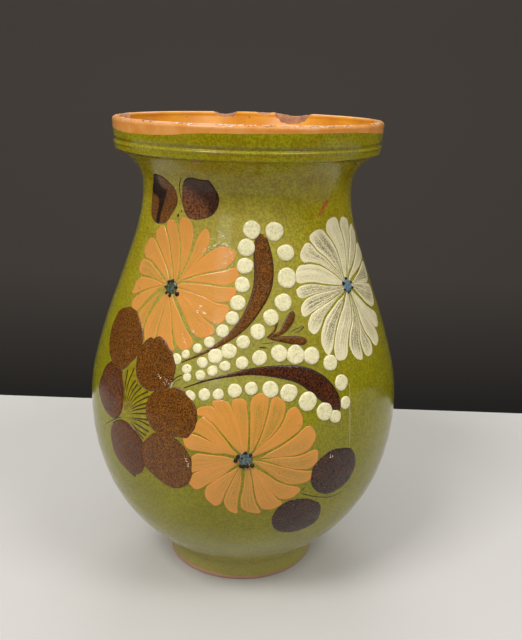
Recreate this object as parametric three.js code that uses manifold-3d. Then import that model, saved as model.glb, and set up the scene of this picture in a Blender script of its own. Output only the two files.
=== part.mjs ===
// A green-glazed terracotta milk jug: one thrown pot with an open wall, a pulled strap handle,
// and a bouquet of slip flowers, leaves and beads laid on the wall as separate thin pieces.
// Millimetres, +Z up, the origin at the middle of the flat base. The bouquet faces -Y,
// the handle stands at +Y. A turn is the angle round the pot from the middle of the front,
// positive to the right of someone who looks at the bouquet.

import * as THREE from 'three';
import { mergeVertices } from 'three/addons/utils/BufferGeometryUtils.js';
import Module from 'manifold-3d';

const wasm = await Module();
wasm.setup();

// Driving sizes of the thrown pot
const height = 220;
const rimRadius = 62;
const lipThickness = 4;
const lipRounding = 1.4;
const collarHeight = 13.6;
const collarTaper = 1.1;
const collarUnderlip = 1.4;
const collarUndercut = 3.4;
const collarCornerInset = 0.75;
const collarCornerDrop = 0.3;
const collarCornerRise = 1.2;
const grooveBelowRim = 9;
const grooveDepth = 0.7;
const grooveWidth = 1.8;
const ridgeHeight = 0.2;
const neckRadius = 48.6;
const neckHeight = 187.2;
const bellyRadius = 75.4;
const bellyHeight = 87.3;
const footRadius = 37.5;
const footWaistRadius = 36.6;
const footHeight = 9.5;
const footBevel = 0.8;
const bareEdge = 2;
const wallThickness = 5;
const floorThickness = 9;
const floorRadius = 27;
const floorClearance = 1;

// How the wall swings between those sizes
const undersideSlope = 37;
const undersidePull = 0.3;
const bellyPullDown = 0.55;
const bellyPullUp = 0.317;
const neckPullDown = 0.237;
const neckPullUp = 0.5;
const flareSlope = 39.5;
const flarePull = 0.45;

// Old damage at the back of the rim: turn of the middle, half length along the rim, depth
const rimChips = [
  { turn: 196.5, halfLength: 5.6, depth: 2.2 },
  { turn: 158.5, halfLength: 10.5, depth: 1.9 },
];

// Driving sizes of the strap handle
const handleReach = 104;
const handleBendHeight = 184;
const handleTopDrop = 8.4;
const handleTopPull = 0.62;
const handleTopLift = 0.06;
const handleBendPullUp = 0.6;
const handleBendPullDown = 0.5;
const handleFootHeight = 125;
const handleFootPull = 0.42;
const handleFootLift = 0.3;
const strapWidth = 22;
const strapThickness = 9;
const upperRootWidth = 26;
const upperRootThickness = 10.5;
const lowerRootWidth = 28;
const lowerRootThickness = 11;
const strapGroove = 0.9;
const strapGrooveSharpness = 8;
const strapBoxiness = 0.8;
const rootDepth = 5;
const rootShare = 0.3;

// The gap between pieces that touch, and the thicknesses of the slip
const slipGap = 0.3;
const petalSlip = 0.5;
const strokeSlip = 0.5;
const beadHeight = 0.9;
const beadStep = 0.03;
const beadShoulderRadius = 0.7;
const beadShoulderHeight = 0.75;
const eyeSlip = 0.9;
// A cutter reaches from below the wall's face to well above the slip
const cutterLifts = [-1, 3];

// Smoothness
const potSides = 50;
const undersideStep = 14;
const shoulderStep = 8.4;
const throatStep = 4.9;
const insideStride = 2;
const chipSides = 14;
const chipRings = 8;
const strapSides = 14;
const strapSteps = 18;
const beadSides = 10;
const ovalSides = 18;
const plateRings = [0.5, 1];
const daisyRings = [0, 0.28, 0.54, 0.78, 1];
const strokeStride = 2;
const tangentStep = 0.002;
const mergeDistance = 1e-4;
const searchSteps = 30;

// Daisies: the middle as millimetres right of the front and down from the collar, and petals as
// [direction in degrees, reach, half width at the tip], anticlockwise from the right
const eyeRadius = 2.8;
const slitStart = 0.62;
const tipShare = 0.85;
const cheekDrop = 0.75;
const daisies = {
  upper_orange_daisy: {
    colour: 'orange', right: -33.1, drop: 57.8,
    petals: [
      [18, 29.8, 2.6], [39, 30, 3.4], [67, 29.9, 3.2], [87, 30, 3.4], [104, 29.1, 3], [120, 27.9, 3],
      [144, 27.2, 3.9], [167, 24.6, 3.4], [190, 24.8, 3.4], [211, 26, 3.4], [234, 25.5, 3.6],
      [257, 26.5, 3.6], [280, 26.5, 3.4], [301, 28, 3.2], [319, 28, 3], [342, 29, 3.4], [0, 29.1, 3.2],
    ],
  },
  lower_orange_daisy: {
    colour: 'orange', right: 1.2, drop: 126.6,
    petals: [
      [20, 31.5, 3.8], [39, 29.9, 3.8], [61, 29.4, 3.4], [78, 28.8, 3.4], [96, 26.1, 3.6], [115, 27.4, 3.8],
      [137, 28.8, 4.2], [169, 27, 4], [192, 25, 3.6], [214, 27.9, 4], [237, 27.4, 4], [260, 28.4, 3],
      [279, 28.5, 3.4], [300, 29.3, 3.8], [320, 30.2, 3.2], [339, 32.4, 3.6], [357, 32.3, 3],
    ],
  },
  cream_daisy: {
    colour: 'cream', right: 51, drop: 58.4,
    petals: [
      [4, 28, 3.2], [25, 29.5, 3.4], [47, 31.5, 3.6], [71, 31, 3.6], [94, 30.5, 4], [118, 29.1, 3.8],
      [138, 28.6, 3.6], [162, 28.4, 3.8], [180, 28.8, 2.8], [195, 30.2, 3], [211, 31.9, 3.2],
      [227, 33.8, 3.6], [244, 34.2, 4], [263, 33.1, 3], [279, 33.6, 3.2], [297, 34, 3.6],
      [317, 31, 4], [340, 29, 3.6],
    ],
  },
};

// Ovals of brown slip: middle, half length, half width, tilt of the length, fuller towards its end
const ovals = {
  brown_petal_top: { right: -62.9, drop: 84.6, half: 14.4, side: 13.2, tilt: 153, fuller: -0.11 },
  brown_petal_upright: { right: -40.2, drop: 91.7, half: 11.4, side: 10.9, tilt: 78, fuller: 0.1 },
  brown_petal_left: { right: -70, drop: 110.3, half: 12.9, side: 11.4, tilt: 141, fuller: 0.18 },
  brown_petal_right: { right: -32.2, drop: 110.1, half: 13, side: 10.9, tilt: 7, fuller: 0.07 },
  brown_petal_lower_left: { right: -57.8, drop: 132.7, half: 12.5, side: 12.4, tilt: 0, fuller: 0.12 },
  brown_petal_lower_right: { right: -34, drop: 132, half: 13.4, side: 12.3, tilt: 109, fuller: -0.02 },
  upper_leaf_left: { right: -41.9, drop: 22, half: 11, side: 9.4, tilt: 72, fuller: 0.05 },
  upper_leaf_right: { right: -20.9, drop: 19.4, half: 9.2, side: 8.8, tilt: 68, fuller: 0.18 },
  lower_leaf_right: { right: 43.1, drop: 138.7, half: 12.5, side: 10.8, tilt: 18, fuller: -0.04 },
  lower_leaf_left: { right: 25.1, drop: 160.5, half: 12.3, side: 11, tilt: 146, fuller: 0.05 },
};

// Brush strokes of brown slip: points of the middle line as [right, drop, half width], tip to root
const strokes = {
  upper_plume: [
    [6.4, 33.4, 1.7], [7, 41.3, 3.5], [7.5, 48.3, 4.2], [6.8, 55.4, 4], [4, 62.4, 3.2],
    [0, 69.1, 2.4], [-5.2, 74.6, 1.6], [-11.4, 79.4, 0.9], [-19.1, 84, 0.5], [-26.9, 88, 0.3],
  ],
  lower_plume: [
    [43, 110.3, 1], [41.5, 106.6, 3], [37.5, 101.8, 4.3], [31.8, 96.7, 4.6], [24.3, 92.1, 3.8],
    [14.5, 89.9, 2.7], [3.6, 89.5, 1.5], [-6, 91.3, 0.7], [-15.9, 94.2, 0.4], [-23.5, 97.6, 0.3],
  ],
  sprig: [
    [20.3, 65.8, 0.8], [19.9, 67.6, 1.7], [18.3, 69.6, 1.7], [16, 71.6, 1], [13.3, 73.6, 0.5],
    [10.7, 75.2, 0.5], [13.9, 76.4, 0.6], [17.3, 77.2, 1.2], [21.5, 78.1, 1.7], [25.4, 78.7, 1.5],
    [27, 78.8, 0.6],
  ],
};

// Rows of slip beads beside the plumes. A bead is [right, drop, radius], and the beads that have run
// together with it follow in its list as [right, down, radius] from one to the next
const beadRows = {
  upper_left: [
    [[2.1, 30.9, 3.8]], [[0, 38.3, 3.7]], [[-0.4, 45.9, 3.5]], [[-1.4, 53.7, 3.3]], [[-3.1, 61.3, 3.3]],
    [[-5.3, 67.7, 2.9]], [[-9.2, 73.2, 2.8]], [[-14.7, 78.2, 2.4]], [[-19.8, 81.3, 2.1]],
    [[-25, 84.4, 1.9]], [[-29.2, 86.9, 2.3]],
  ],
  upper_right: [
    [[11.6, 31.6, 4]], [[16.8, 40.6, 3.7]], [[17.5, 51.2, 4.3]], [[16, 61.3, 3.8]], [[10.8, 67.3, 3.4]],
    [[5.4, 73.1, 3.3]], [[-0.6, 77.4, 2.9]], [[-6.4, 81.4, 3.3], [-5.6, 2.4, 3.2]],
    [[-17.5, 86.9, 2.4]], [[-24.3, 90.4, 2.2], [0.6, 3.4, 1.9]],
  ],
  lower_upper: [
    [[-18.2, 92.2, 2.2]], [[-13.1, 89.9, 2.3]], [[-7.9, 87.6, 2.3]], [[-0.9, 86, 2.7]], [[6.3, 83.9, 3.2]],
    [[14.6, 82.3, 3.6], [7.1, 1.1, 4.1], [7.3, 1.2, 3.8]], [[38.7, 88.9, 3.6]], [[44.7, 98.3, 3.6]],
    [[47, 107.4, 2.9]],
  ],
  lower_lower: [
    [[-22.7, 101.3, 2.4]], [[-16.4, 100, 2.6]], [[-10.5, 99.4, 2.4]], [[-3.7, 97.5, 3]], [[3.1, 96.5, 2.8]],
    [[11.1, 97, 3.5]], [[19, 98.9, 3.8]], [[27.6, 103.4, 4.2]], [[35.9, 108.9, 4], [5.4, 3.2, 3]],
  ],
};

// Colours and finishes
const finish = (color, roughness) => new THREE.MeshStandardMaterial({ color, roughness, metalness: 0 });
const greenGlaze = finish(0x7b7a1c, 0.15);
const orangeSlip = finish(0xdd8a3a, 0.2);
const creamSlip = finish(0xe6e2b4, 0.2);
const brownSlip = finish(0x4a2417, 0.2);
const blueSlip = finish(0x4c6f86, 0.2);
const slipColours = { orange: orangeSlip, cream: creamSlip };

const radians = (degrees) => THREE.MathUtils.degToRad(degrees);

// The outer wall, from the crease above the foot to the underside of the collar, as radius and height
const collarFoot = height - collarHeight;
const flareTop = new THREE.Vector2(rimRadius - collarTaper - collarUndercut, collarFoot - collarUnderlip);

function buildWallCurve() {
  const crease = new THREE.Vector2(footWaistRadius, footHeight);
  const belly = new THREE.Vector2(bellyRadius, bellyHeight);
  const neck = new THREE.Vector2(neckRadius, neckHeight);
  const bellyRise = bellyHeight - footHeight;
  const shoulderRise = neckHeight - bellyHeight;
  const throatRise = flareTop.y - neckHeight;
  const underside = new THREE.Vector2(Math.cos(radians(undersideSlope)), Math.sin(radians(undersideSlope)));
  const flare = new THREE.Vector2(Math.cos(radians(flareSlope)), Math.sin(radians(flareSlope)));
  const curve = new THREE.CurvePath();
  curve.add(new THREE.CubicBezierCurve(
    crease,
    crease.clone().addScaledVector(underside, undersidePull * bellyRise),
    new THREE.Vector2(bellyRadius, bellyHeight - bellyPullDown * bellyRise),
    belly,
  ));
  curve.add(new THREE.CubicBezierCurve(
    belly,
    new THREE.Vector2(bellyRadius, bellyHeight + bellyPullUp * shoulderRise),
    new THREE.Vector2(neckRadius, neckHeight - neckPullDown * shoulderRise),
    neck,
  ));
  curve.add(new THREE.CubicBezierCurve(
    neck,
    new THREE.Vector2(neckRadius, neckHeight + neckPullUp * throatRise),
    flareTop.clone().addScaledVector(flare, -flarePull * throatRise),
    flareTop,
  ));
  return curve;
}

const wallCurve = buildWallCurve();
const wallLength = wallCurve.getLength();

// A point at a drop below the collar, measured along the wall, lifted square off the clay
function wallPoint(drop, lift) {
  const share = THREE.MathUtils.clamp(1 - drop / wallLength, 0, 1);
  const point = wallCurve.getPoint(share);
  const above = wallCurve.getPoint(Math.min(share + tangentStep, 1));
  const below = wallCurve.getPoint(Math.max(share - tangentStep, 0));
  const along = above.sub(below).normalize();
  return new THREE.Vector2(point.x + along.y * lift, point.y - along.x * lift);
}

function onWall([turn, drop], lift) {
  const point = wallPoint(drop, lift);
  const angle = radians(turn);
  return new THREE.Vector3(point.x * Math.sin(angle), -point.x * Math.cos(angle), point.y);
}

// The turn and drop of a place given in millimetres of clay, right of the front and down the wall
const place = (right, drop) => [THREE.MathUtils.radToDeg(right / wallPoint(drop, 0).x), drop];

// A place on the wall that lies x to the right and y up from another, in millimetres of clay
function moved([turn, drop], x, y) {
  const radius = wallPoint(drop - y, 0).x;
  return [turn + THREE.MathUtils.radToDeg(x / radius), drop - y];
}

// Closes a mesh: shared corners are merged, flat triangles dropped and the faces turned outward
function closedGeometry(corners, triangles) {
  const loose = new THREE.BufferGeometry();
  const values = corners.flatMap((p) => [p.x, p.y, p.z]);
  loose.setAttribute('position', new THREE.Float32BufferAttribute(values, 3));
  loose.setIndex(triangles.flat());
  const geometry = mergeVertices(loose, mergeDistance);
  const index = geometry.getIndex();
  const position = geometry.getAttribute('position');
  const kept = [];
  const [a, b, c] = [new THREE.Vector3(), new THREE.Vector3(), new THREE.Vector3()];
  let volume = 0;
  for (let i = 0; i < index.count; i += 3) {
    const [i0, i1, i2] = [index.getX(i), index.getX(i + 1), index.getX(i + 2)];
    if (i0 === i1 || i1 === i2 || i2 === i0) continue;
    a.fromBufferAttribute(position, i0);
    b.fromBufferAttribute(position, i1);
    c.fromBufferAttribute(position, i2);
    volume += a.dot(b.clone().cross(c)) / 6;
    kept.push([i0, i1, i2]);
  }
  geometry.setIndex((volume < 0 ? kept.map((t) => [t[0], t[2], t[1]]) : kept).flat());
  return geometry;
}

// A solid from a stack of rings: neighbours are joined by quads, a single point closes an end
function stackSolid(rings, joinEnds = false) {
  const corners = rings.flat();
  const starts = [];
  let count = 0;
  for (const ring of rings) {
    starts.push(count);
    count += ring.length;
  }
  const triangles = [];
  const last = joinEnds ? rings.length : rings.length - 1;
  for (let k = 0; k < last; k += 1) {
    const next = (k + 1) % rings.length;
    const sides = Math.max(rings[k].length, rings[next].length);
    for (let i = 0; i < sides; i += 1) {
      const j = (i + 1) % sides;
      const [low, lowNext] = rings[k].length === 1 ? [0, 0] : [i, j];
      const [high, highNext] = rings[next].length === 1 ? [0, 0] : [i, j];
      triangles.push([starts[k] + low, starts[k] + lowNext, starts[next] + highNext]);
      triangles.push([starts[k] + low, starts[next] + highNext, starts[next] + high]);
    }
  }
  return closedGeometry(corners, triangles);
}

// The same for a ready-made shape of the library, whose seams are open
function closedShape(shape) {
  const position = shape.getAttribute('position');
  const index = shape.getIndex().array;
  const corner = (_, i) => new THREE.Vector3().fromBufferAttribute(position, i);
  const triangle = (_, i) => Array.from(index.slice(3 * i, 3 * i + 3));
  return closedGeometry(
    Array.from({ length: position.count }, corner),
    Array.from({ length: index.length / 3 }, triangle),
  );
}

function toManifold(geometry) {
  return new wasm.Manifold(new wasm.Mesh({
    numProp: 3,
    vertProperties: new Float32Array(geometry.getAttribute('position').array),
    triVerts: new Uint32Array(geometry.getIndex().array),
  }));
}

function fromManifold(solid) {
  const mesh = solid.getMesh();
  const geometry = new THREE.BufferGeometry();
  geometry.setAttribute('position', new THREE.BufferAttribute(mesh.vertProperties, 3));
  geometry.setIndex(new THREE.BufferAttribute(mesh.triVerts, 1));
  return geometry;
}

// The pot, turned from one profile that runs from the middle of the base, over the lip, to the floor
function samples(from, to, longest) {
  const steps = Math.ceil(Math.abs(to - from) / longest);
  return Array.from({ length: steps }, (_, i) => from + ((to - from) * i) / steps);
}

// The drops at which the wall is sampled, from the crease up to the collar, closer where it is hollow
function wallDrops() {
  const [undersideLength, shoulderLength, throatLength] = wallCurve.curves.map((curve) => curve.getLength());
  const bellyDrop = throatLength + shoulderLength;
  return [
    ...samples(bellyDrop + undersideLength, bellyDrop, undersideStep),
    ...samples(bellyDrop, throatLength, shoulderStep),
    ...samples(throatLength, 0, throatStep),
    0,
  ];
}

// The collar's face, from its lower corner up to the lip, grown outward and with a groove cut in
function collarProfile(grow, cut) {
  const face = (below) => rimRadius + grow - (collarTaper * below) / collarHeight;
  const on = (below, depth) => new THREE.Vector2(face(below) - depth, height - below);
  return [
    on(collarHeight + collarCornerDrop, collarCornerInset),
    on(collarHeight - collarCornerRise, 0),
    on(grooveBelowRim + grooveWidth, -ridgeHeight),
    on(grooveBelowRim + grooveWidth / 2, cut),
    on(grooveBelowRim, 0),
    on(lipRounding, 0),
  ];
}

const lathe = (profile) => closedShape(new THREE.LatheGeometry(profile, potSides).rotateX(Math.PI / 2));

// A flattened ball at the rim, in the place of a chip
function chipBite({ turn, halfLength, depth }) {
  const lipMiddle = rimRadius - lipThickness / 2;
  const bite = new THREE.SphereGeometry(1, chipSides, chipRings);
  bite.scale(halfLength, lipThickness, depth);
  bite.translate(0, -lipMiddle, height);
  bite.rotateZ(radians(turn));
  return toManifold(closedShape(bite));
}

function buildPot() {
  const foot = [
    new THREE.Vector2(0, 0),
    new THREE.Vector2(footRadius - footBevel, 0),
    new THREE.Vector2(footRadius, footBevel),
    new THREE.Vector2(footRadius, bareEdge),
  ];
  const outside = wallDrops().map((drop) => wallPoint(drop, 0));
  const rounded = lipRounding * (1 - Math.SQRT1_2);
  const lip = [
    new THREE.Vector2(rimRadius - rounded, height - rounded),
    new THREE.Vector2(rimRadius - lipThickness / 2, height),
    new THREE.Vector2(rimRadius - lipThickness + rounded, height - rounded),
    new THREE.Vector2(rimRadius - lipThickness, height - lipRounding),
  ];
  const inside = wallDrops()
    .reverse()
    .map((drop) => wallPoint(drop, -wallThickness))
    .filter((point, i) => point.y > floorThickness + floorClearance && i % insideStride === 0);
  const floor = [new THREE.Vector2(floorRadius, floorThickness), new THREE.Vector2(0, floorThickness)];
  const profile = [...foot, ...outside, ...collarProfile(0, grooveDepth), ...lip, ...inside, ...floor];
  return rimChips.reduce((pot, chip) => pot.subtract(chipBite(chip)), toManifold(lathe(profile)));
}

// The solid that the handle is luted against: the pot's outside, one gap larger, with no hollow
function buildEnvelope() {
  const outside = wallDrops().map((drop) => wallPoint(drop, slipGap));
  const profile = [
    new THREE.Vector2(0, footHeight),
    ...outside,
    ...collarProfile(slipGap, 0),
    new THREE.Vector2(rimRadius + slipGap, height + slipGap),
    new THREE.Vector2(0, height + slipGap),
  ];
  return toManifold(lathe(profile));
}

// The wall's radius at a height, found by halving
function wallRadiusAt(z) {
  let [low, high] = [0, wallLength];
  for (let i = 0; i < searchSteps; i += 1) {
    const middle = (low + high) / 2;
    if (wallPoint(middle, 0).y > z) low = middle;
    else high = middle;
  }
  return wallPoint(low, 0).x;
}

// The middle line of the handle, from inside the collar, round the bend, to inside the shoulder
function handlePath() {
  const top = new THREE.Vector3(0, rimRadius - rootDepth, height - handleTopDrop);
  const bend = new THREE.Vector3(0, handleReach, handleBendHeight);
  const foot = new THREE.Vector3(0, wallRadiusAt(handleFootHeight) - rootDepth, handleFootHeight);
  const topRise = top.z - bend.z;
  const footRise = bend.z - foot.z;
  const path = new THREE.CurvePath();
  path.add(new THREE.CubicBezierCurve3(
    top,
    top.clone().add(new THREE.Vector3(0, handleTopPull * (bend.y - top.y), handleTopLift * topRise)),
    bend.clone().add(new THREE.Vector3(0, 0, handleBendPullUp * topRise)),
    bend,
  ));
  path.add(new THREE.CubicBezierCurve3(
    bend,
    bend.clone().add(new THREE.Vector3(0, 0, -handleBendPullDown * footRise)),
    foot.clone().add(new THREE.Vector3(0, handleFootPull * (bend.y - foot.y), handleFootLift * footRise)),
    foot,
  ));
  return path;
}

// The pulled strap: an oval section with a thumb groove along its back, wider where it is luted on
function buildHandle() {
  const path = handlePath();
  const swell = (place, upper, middle, lower) => {
    const towardsUpper = Math.max(0, 1 - place / rootShare) ** 2;
    const towardsLower = Math.max(0, 1 - (1 - place) / rootShare) ** 2;
    return middle + (upper - middle) * towardsUpper + (lower - middle) * towardsLower;
  };
  const rings = [];
  for (let k = 0; k <= strapSteps; k += 1) {
    const place = k / strapSteps;
    const centre = path.getPoint(place);
    const along = path.getTangent(place);
    const outward = new THREE.Vector3(0, -along.z, along.y);
    const halfWidth = swell(place, upperRootWidth, strapWidth, lowerRootWidth) / 2;
    const halfThickness = swell(place, upperRootThickness, strapThickness, lowerRootThickness) / 2;
    const ring = [];
    for (let i = 0; i < strapSides; i += 1) {
      const angle = (2 * Math.PI * (i + 0.5)) / strapSides;
      const across = Math.sign(Math.cos(angle)) * Math.abs(Math.cos(angle)) ** strapBoxiness * halfWidth;
      const groove = strapGroove * Math.max(0, Math.sin(angle)) ** strapGrooveSharpness;
      const out = Math.sin(angle) * halfThickness - groove;
      ring.push(new THREE.Vector3(across, 0, 0).add(centre).addScaledVector(outward, out));
    }
    rings.push(ring);
  }
  const strap = toManifold(stackSolid([[path.getPoint(0)], ...rings, [path.getPoint(1)]]));
  const cut = strap.subtract(buildEnvelope()).decompose();
  return cut.sort((a, b) => b.volume() - a.volume())[0];
}

// Rings of an outline drawn inwards to a point or to a hole, at the given shares of the way
function shrunk(outline, shares, hole = outline.map(() => [0, 0])) {
  return shares.map((share) => outline.map(([x, y], i) => [
    hole[i][0] + (x - hole[i][0]) * share,
    hole[i][1] + (y - hole[i][1]) * share,
  ]));
}

const distance = (from, to) => onWall(from, 0).distanceTo(onWall(to, 0));

const lifted = (centre, ring, lift) => ring.map(([x, y]) => onWall(moved(centre, x, y), lift));

// A flat piece of slip with a rounded outline, lying on the wall; cutters use a wider range of lifts
function slipPlate(centre, outline, under, over) {
  const rings = shrunk(outline, plateRings);
  return stackSolid([
    [onWall(centre, under)],
    ...rings.map((ring) => lifted(centre, ring, under)),
    ...rings.reverse().map((ring) => lifted(centre, ring, over)),
    [onWall(centre, over)],
  ]);
}

function circle(radius, sides) {
  return Array.from({ length: sides }, (_, i) => {
    const angle = (2 * Math.PI * i) / sides;
    return [radius * Math.cos(angle), radius * Math.sin(angle)];
  });
}

function ovalOutline({ half, side, tilt, fuller }, grow) {
  const [cos, sin] = [Math.cos(radians(tilt)), Math.sin(radians(tilt))];
  return circle(1, ovalSides).map(([x, y]) => {
    const u = x * (half + grow);
    const v = y * (side + grow) * (1 + fuller * x);
    return [u * cos - v * sin, u * sin + v * cos];
  });
}

// A slip piece is its solid and the cutter that clears a gap for it in the slip laid before it
function ovalPiece(name, oval) {
  const centre = place(oval.right, oval.drop);
  return {
    name,
    material: brownSlip,
    centre,
    reach: Math.max(oval.half, oval.side) * (1 + Math.abs(oval.fuller)),
    solid: toManifold(slipPlate(centre, ovalOutline(oval, 0), slipGap, slipGap + petalSlip)),
    cutter: toManifold(slipPlate(centre, ovalOutline(oval, slipGap), ...cutterLifts)),
  };
}

// A daisy: each petal leaves a slit to its neighbour and ends in a round tip
function daisyOutline(petals) {
  return petals.flatMap(([direction, reach, halfWidth], i) => {
    const [previousDirection, previousReach] = petals[(i + petals.length - 1) % petals.length];
    const back = ((direction - previousDirection + 360) % 360) / 2;
    const at = (angle, radius) => [radius * Math.cos(radians(angle)), radius * Math.sin(radians(angle))];
    const cheek = Math.min(THREE.MathUtils.radToDeg(halfWidth / (reach - halfWidth)), tipShare * back);
    const slit = (slitStart * (reach + previousReach)) / 2;
    return [
      at(direction - back, slit),
      at(direction - cheek, reach - cheekDrop * halfWidth),
      at(direction, reach),
      at(direction + cheek, reach - cheekDrop * halfWidth),
    ];
  });
}

function daisyPiece(name, { colour, right, drop, petals }) {
  const centre = place(right, drop);
  const outline = daisyOutline(petals);
  const hole = outline.map(([x, y]) => {
    const scale = (eyeRadius + slipGap) / Math.hypot(x, y);
    return [x * scale, y * scale];
  });
  const rings = shrunk(outline, daisyRings, hole);
  const under = rings.map((ring) => lifted(centre, ring, slipGap));
  const over = rings.reverse().map((ring) => lifted(centre, ring, slipGap + petalSlip));
  return {
    name,
    material: slipColours[colour],
    centre,
    reach: Math.max(...petals.map(([, reach]) => reach)),
    solid: toManifold(stackSolid([...under, ...over], true)),
  };
}

function bead(centre, radius, thickness, sides) {
  return stackSolid([
    [onWall(centre, slipGap)],
    lifted(centre, circle(radius, sides), slipGap),
    lifted(centre, circle(beadShoulderRadius * radius, sides), slipGap + beadShoulderHeight * thickness),
    [onWall(centre, slipGap + thickness)],
  ]);
}

function eyePiece(name, { right, drop }) {
  const centre = place(right, drop);
  return {
    name,
    material: blueSlip,
    centre,
    reach: eyeRadius,
    solid: toManifold(bead(centre, eyeRadius, eyeSlip, beadSides)),
  };
}

// Beads that run together are joined, each one step higher than the last so that no faces coincide
function beadPiece(name, [first, ...followers]) {
  const join = (solids) => solids.reduce((sum, solid) => sum.add(solid));
  const beads = [{ centre: place(first[0], first[1]), radius: first[2] }];
  for (const [right, down, radius] of followers) {
    beads.push({ centre: moved(beads[beads.length - 1].centre, right, -down), radius });
  }
  const domes = beads.map(({ centre, radius }, i) => toManifold(
    bead(centre, radius, beadHeight + beadStep * i, beadSides + (i % 2)),
  ));
  const cutters = beads.map(({ centre, radius }) => toManifold(
    slipPlate(centre, circle(radius + slipGap, beadSides), ...cutterLifts),
  ));
  const { centre } = beads[Math.floor(beads.length / 2)];
  return {
    name,
    material: creamSlip,
    centre,
    reach: Math.max(...beads.map((one) => distance(one.centre, centre) + one.radius)),
    solid: join(domes),
    cutter: join(cutters),
  };
}

// A brush stroke: a ribbon along a smooth line, its width following the chosen half widths
function strokeRibbon(points, grow, under, over) {
  const line = new THREE.CatmullRomCurve3(points.map((p) => new THREE.Vector3(...p)), false, 'centripetal');
  const steps = strokeStride * (points.length - 1);
  const places = Array.from({ length: steps + 1 }, (_, i) => line.getPoint(i / steps));
  const flat = (p) => new THREE.Vector2(radians(p.x) * wallPoint(p.y, 0).x, -p.y);
  const sections = places.map((p, i) => {
    const before = flat(places[Math.max(i - 1, 0)]);
    const after = flat(places[Math.min(i + 1, steps)]);
    const along = after.sub(before).normalize();
    const half = p.z + grow;
    const left = moved([p.x, p.y], -along.y * half, along.x * half);
    const right = moved([p.x, p.y], along.y * half, -along.x * half);
    return [onWall(left, under), onWall(right, under), onWall(right, over), onWall(left, over)];
  });
  const cap = (section) => [section.reduce((sum, p) => sum.add(p), new THREE.Vector3()).divideScalar(4)];
  return stackSolid([cap(sections[0]), ...sections, cap(sections[steps])]);
}

function strokePiece(name, line) {
  const points = line.map(([right, drop, halfWidth]) => [...place(right, drop), halfWidth]);
  const [turn, drop] = points[Math.floor(points.length / 2)];
  const centre = [turn, drop];
  return {
    name,
    material: brownSlip,
    centre,
    reach: Math.max(...points.map((point) => distance(point, centre) + point[2])),
    solid: toManifold(strokeRibbon(points, 0, slipGap, slipGap + strokeSlip)),
    cutter: toManifold(strokeRibbon(points, slipGap, ...cutterLifts)),
  };
}

// The bouquet in the order in which it is laid: what comes later clears a gap in what lies below
function buildBouquet() {
  const beads = Object.entries(beadRows).flatMap(([row, pieces]) => pieces.map(
    (piece, i) => beadPiece(`${row}_bead_${String(i + 1).padStart(2, '0')}`, piece),
  ));
  const pieces = [
    ...Object.entries(daisies).map(([name, daisy]) => daisyPiece(name, daisy)),
    ...beads,
    ...Object.entries(strokes).map(([name, points]) => strokePiece(name, points)),
    ...Object.entries(ovals).map(([name, oval]) => ovalPiece(name, oval)),
  ];
  for (const [i, piece] of pieces.entries()) {
    for (const later of pieces.slice(i + 1).filter((other) => other.cutter)) {
      if (distance(piece.centre, later.centre) < piece.reach + later.reach + 2 * slipGap) {
        piece.solid = piece.solid.subtract(later.cutter);
      }
    }
  }
  const eyes = Object.entries(daisies).map(([name, daisy]) => eyePiece(`${name}_eye`, daisy));
  return [...pieces, ...eyes];
}

function named(name, solid, material) {
  const mesh = new THREE.Mesh(fromManifold(solid), material);
  mesh.geometry.computeVertexNormals();
  mesh.name = name;
  return mesh;
}

const jug = new THREE.Group();
jug.name = 'terracotta_jug';
jug.add(named('pot_body', buildPot(), greenGlaze));
jug.add(named('strap_handle', buildHandle(), greenGlaze));
for (const piece of buildBouquet()) jug.add(named(piece.name, piece.solid, piece.material));

export default jug;
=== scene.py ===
# %% [markdown]
# # A green-glazed milk jug with a slip bouquet
#
# The real jug is one thrown pot of red clay with a pulled strap handle. A potter painted a
# bouquet on it in coloured slip, which is liquid clay, and covered all of it with a clear green
# glaze. This lesson rebuilds it over a packed CAD model, which gives the frame: every piece made
# here stands for a CAD solid or rides on its body, in metres, with +Z up.
#
# The bouquet faces -Y and the handle stands at +Y. Lengths on the jug are written in
# millimetres, and they become metres only where a mesh is made or a height is given to a
# material. The table, the wall behind, the lamps and the camera are placed in metres.

import math

import bpy
import numpy as np
from mathutils import Matrix


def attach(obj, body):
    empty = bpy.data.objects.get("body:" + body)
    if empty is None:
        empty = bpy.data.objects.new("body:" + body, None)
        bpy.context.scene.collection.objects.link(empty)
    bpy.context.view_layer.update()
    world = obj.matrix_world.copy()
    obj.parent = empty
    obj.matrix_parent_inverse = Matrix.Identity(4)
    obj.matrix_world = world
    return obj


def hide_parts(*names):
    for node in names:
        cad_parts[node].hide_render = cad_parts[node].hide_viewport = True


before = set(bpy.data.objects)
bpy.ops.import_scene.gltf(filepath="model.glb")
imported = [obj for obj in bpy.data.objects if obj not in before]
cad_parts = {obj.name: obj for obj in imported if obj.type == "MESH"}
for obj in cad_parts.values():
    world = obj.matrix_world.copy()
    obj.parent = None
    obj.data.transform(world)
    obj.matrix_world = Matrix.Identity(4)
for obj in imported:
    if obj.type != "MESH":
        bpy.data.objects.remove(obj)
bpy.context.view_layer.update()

# %% [markdown]
# ## The wall as a chart
#
# Everything on the jug lies on one curved wall, so the wall is described once. A list of many
# measured radii would do, but it would show bumps, so the outline is three cubic curves: the
# underside, the shoulder and the throat. A place on it has two numbers, as on a map: the turn
# round the pot in degrees, and the drop down the wall from the collar in millimetres. A motif is
# drawn flat around its own middle and then laid on the wall, so it bends with the clay as wet
# slip does.

# %% The wall's outline
MM = 0.001
height = 220.0
rim_radius = 62.0
crease = (36.6, 9.5)
belly = (75.4, 87.3)
neck = (48.6, 187.2)
flare = (57.5, 205.0)
underside_slope, underside_pull = 37, 0.3
throat_slope, throat_pull = 39.5, 0.45
belly_pulls = (44.5, 119.0)
neck_pulls = (163.5, 196.1)


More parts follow.
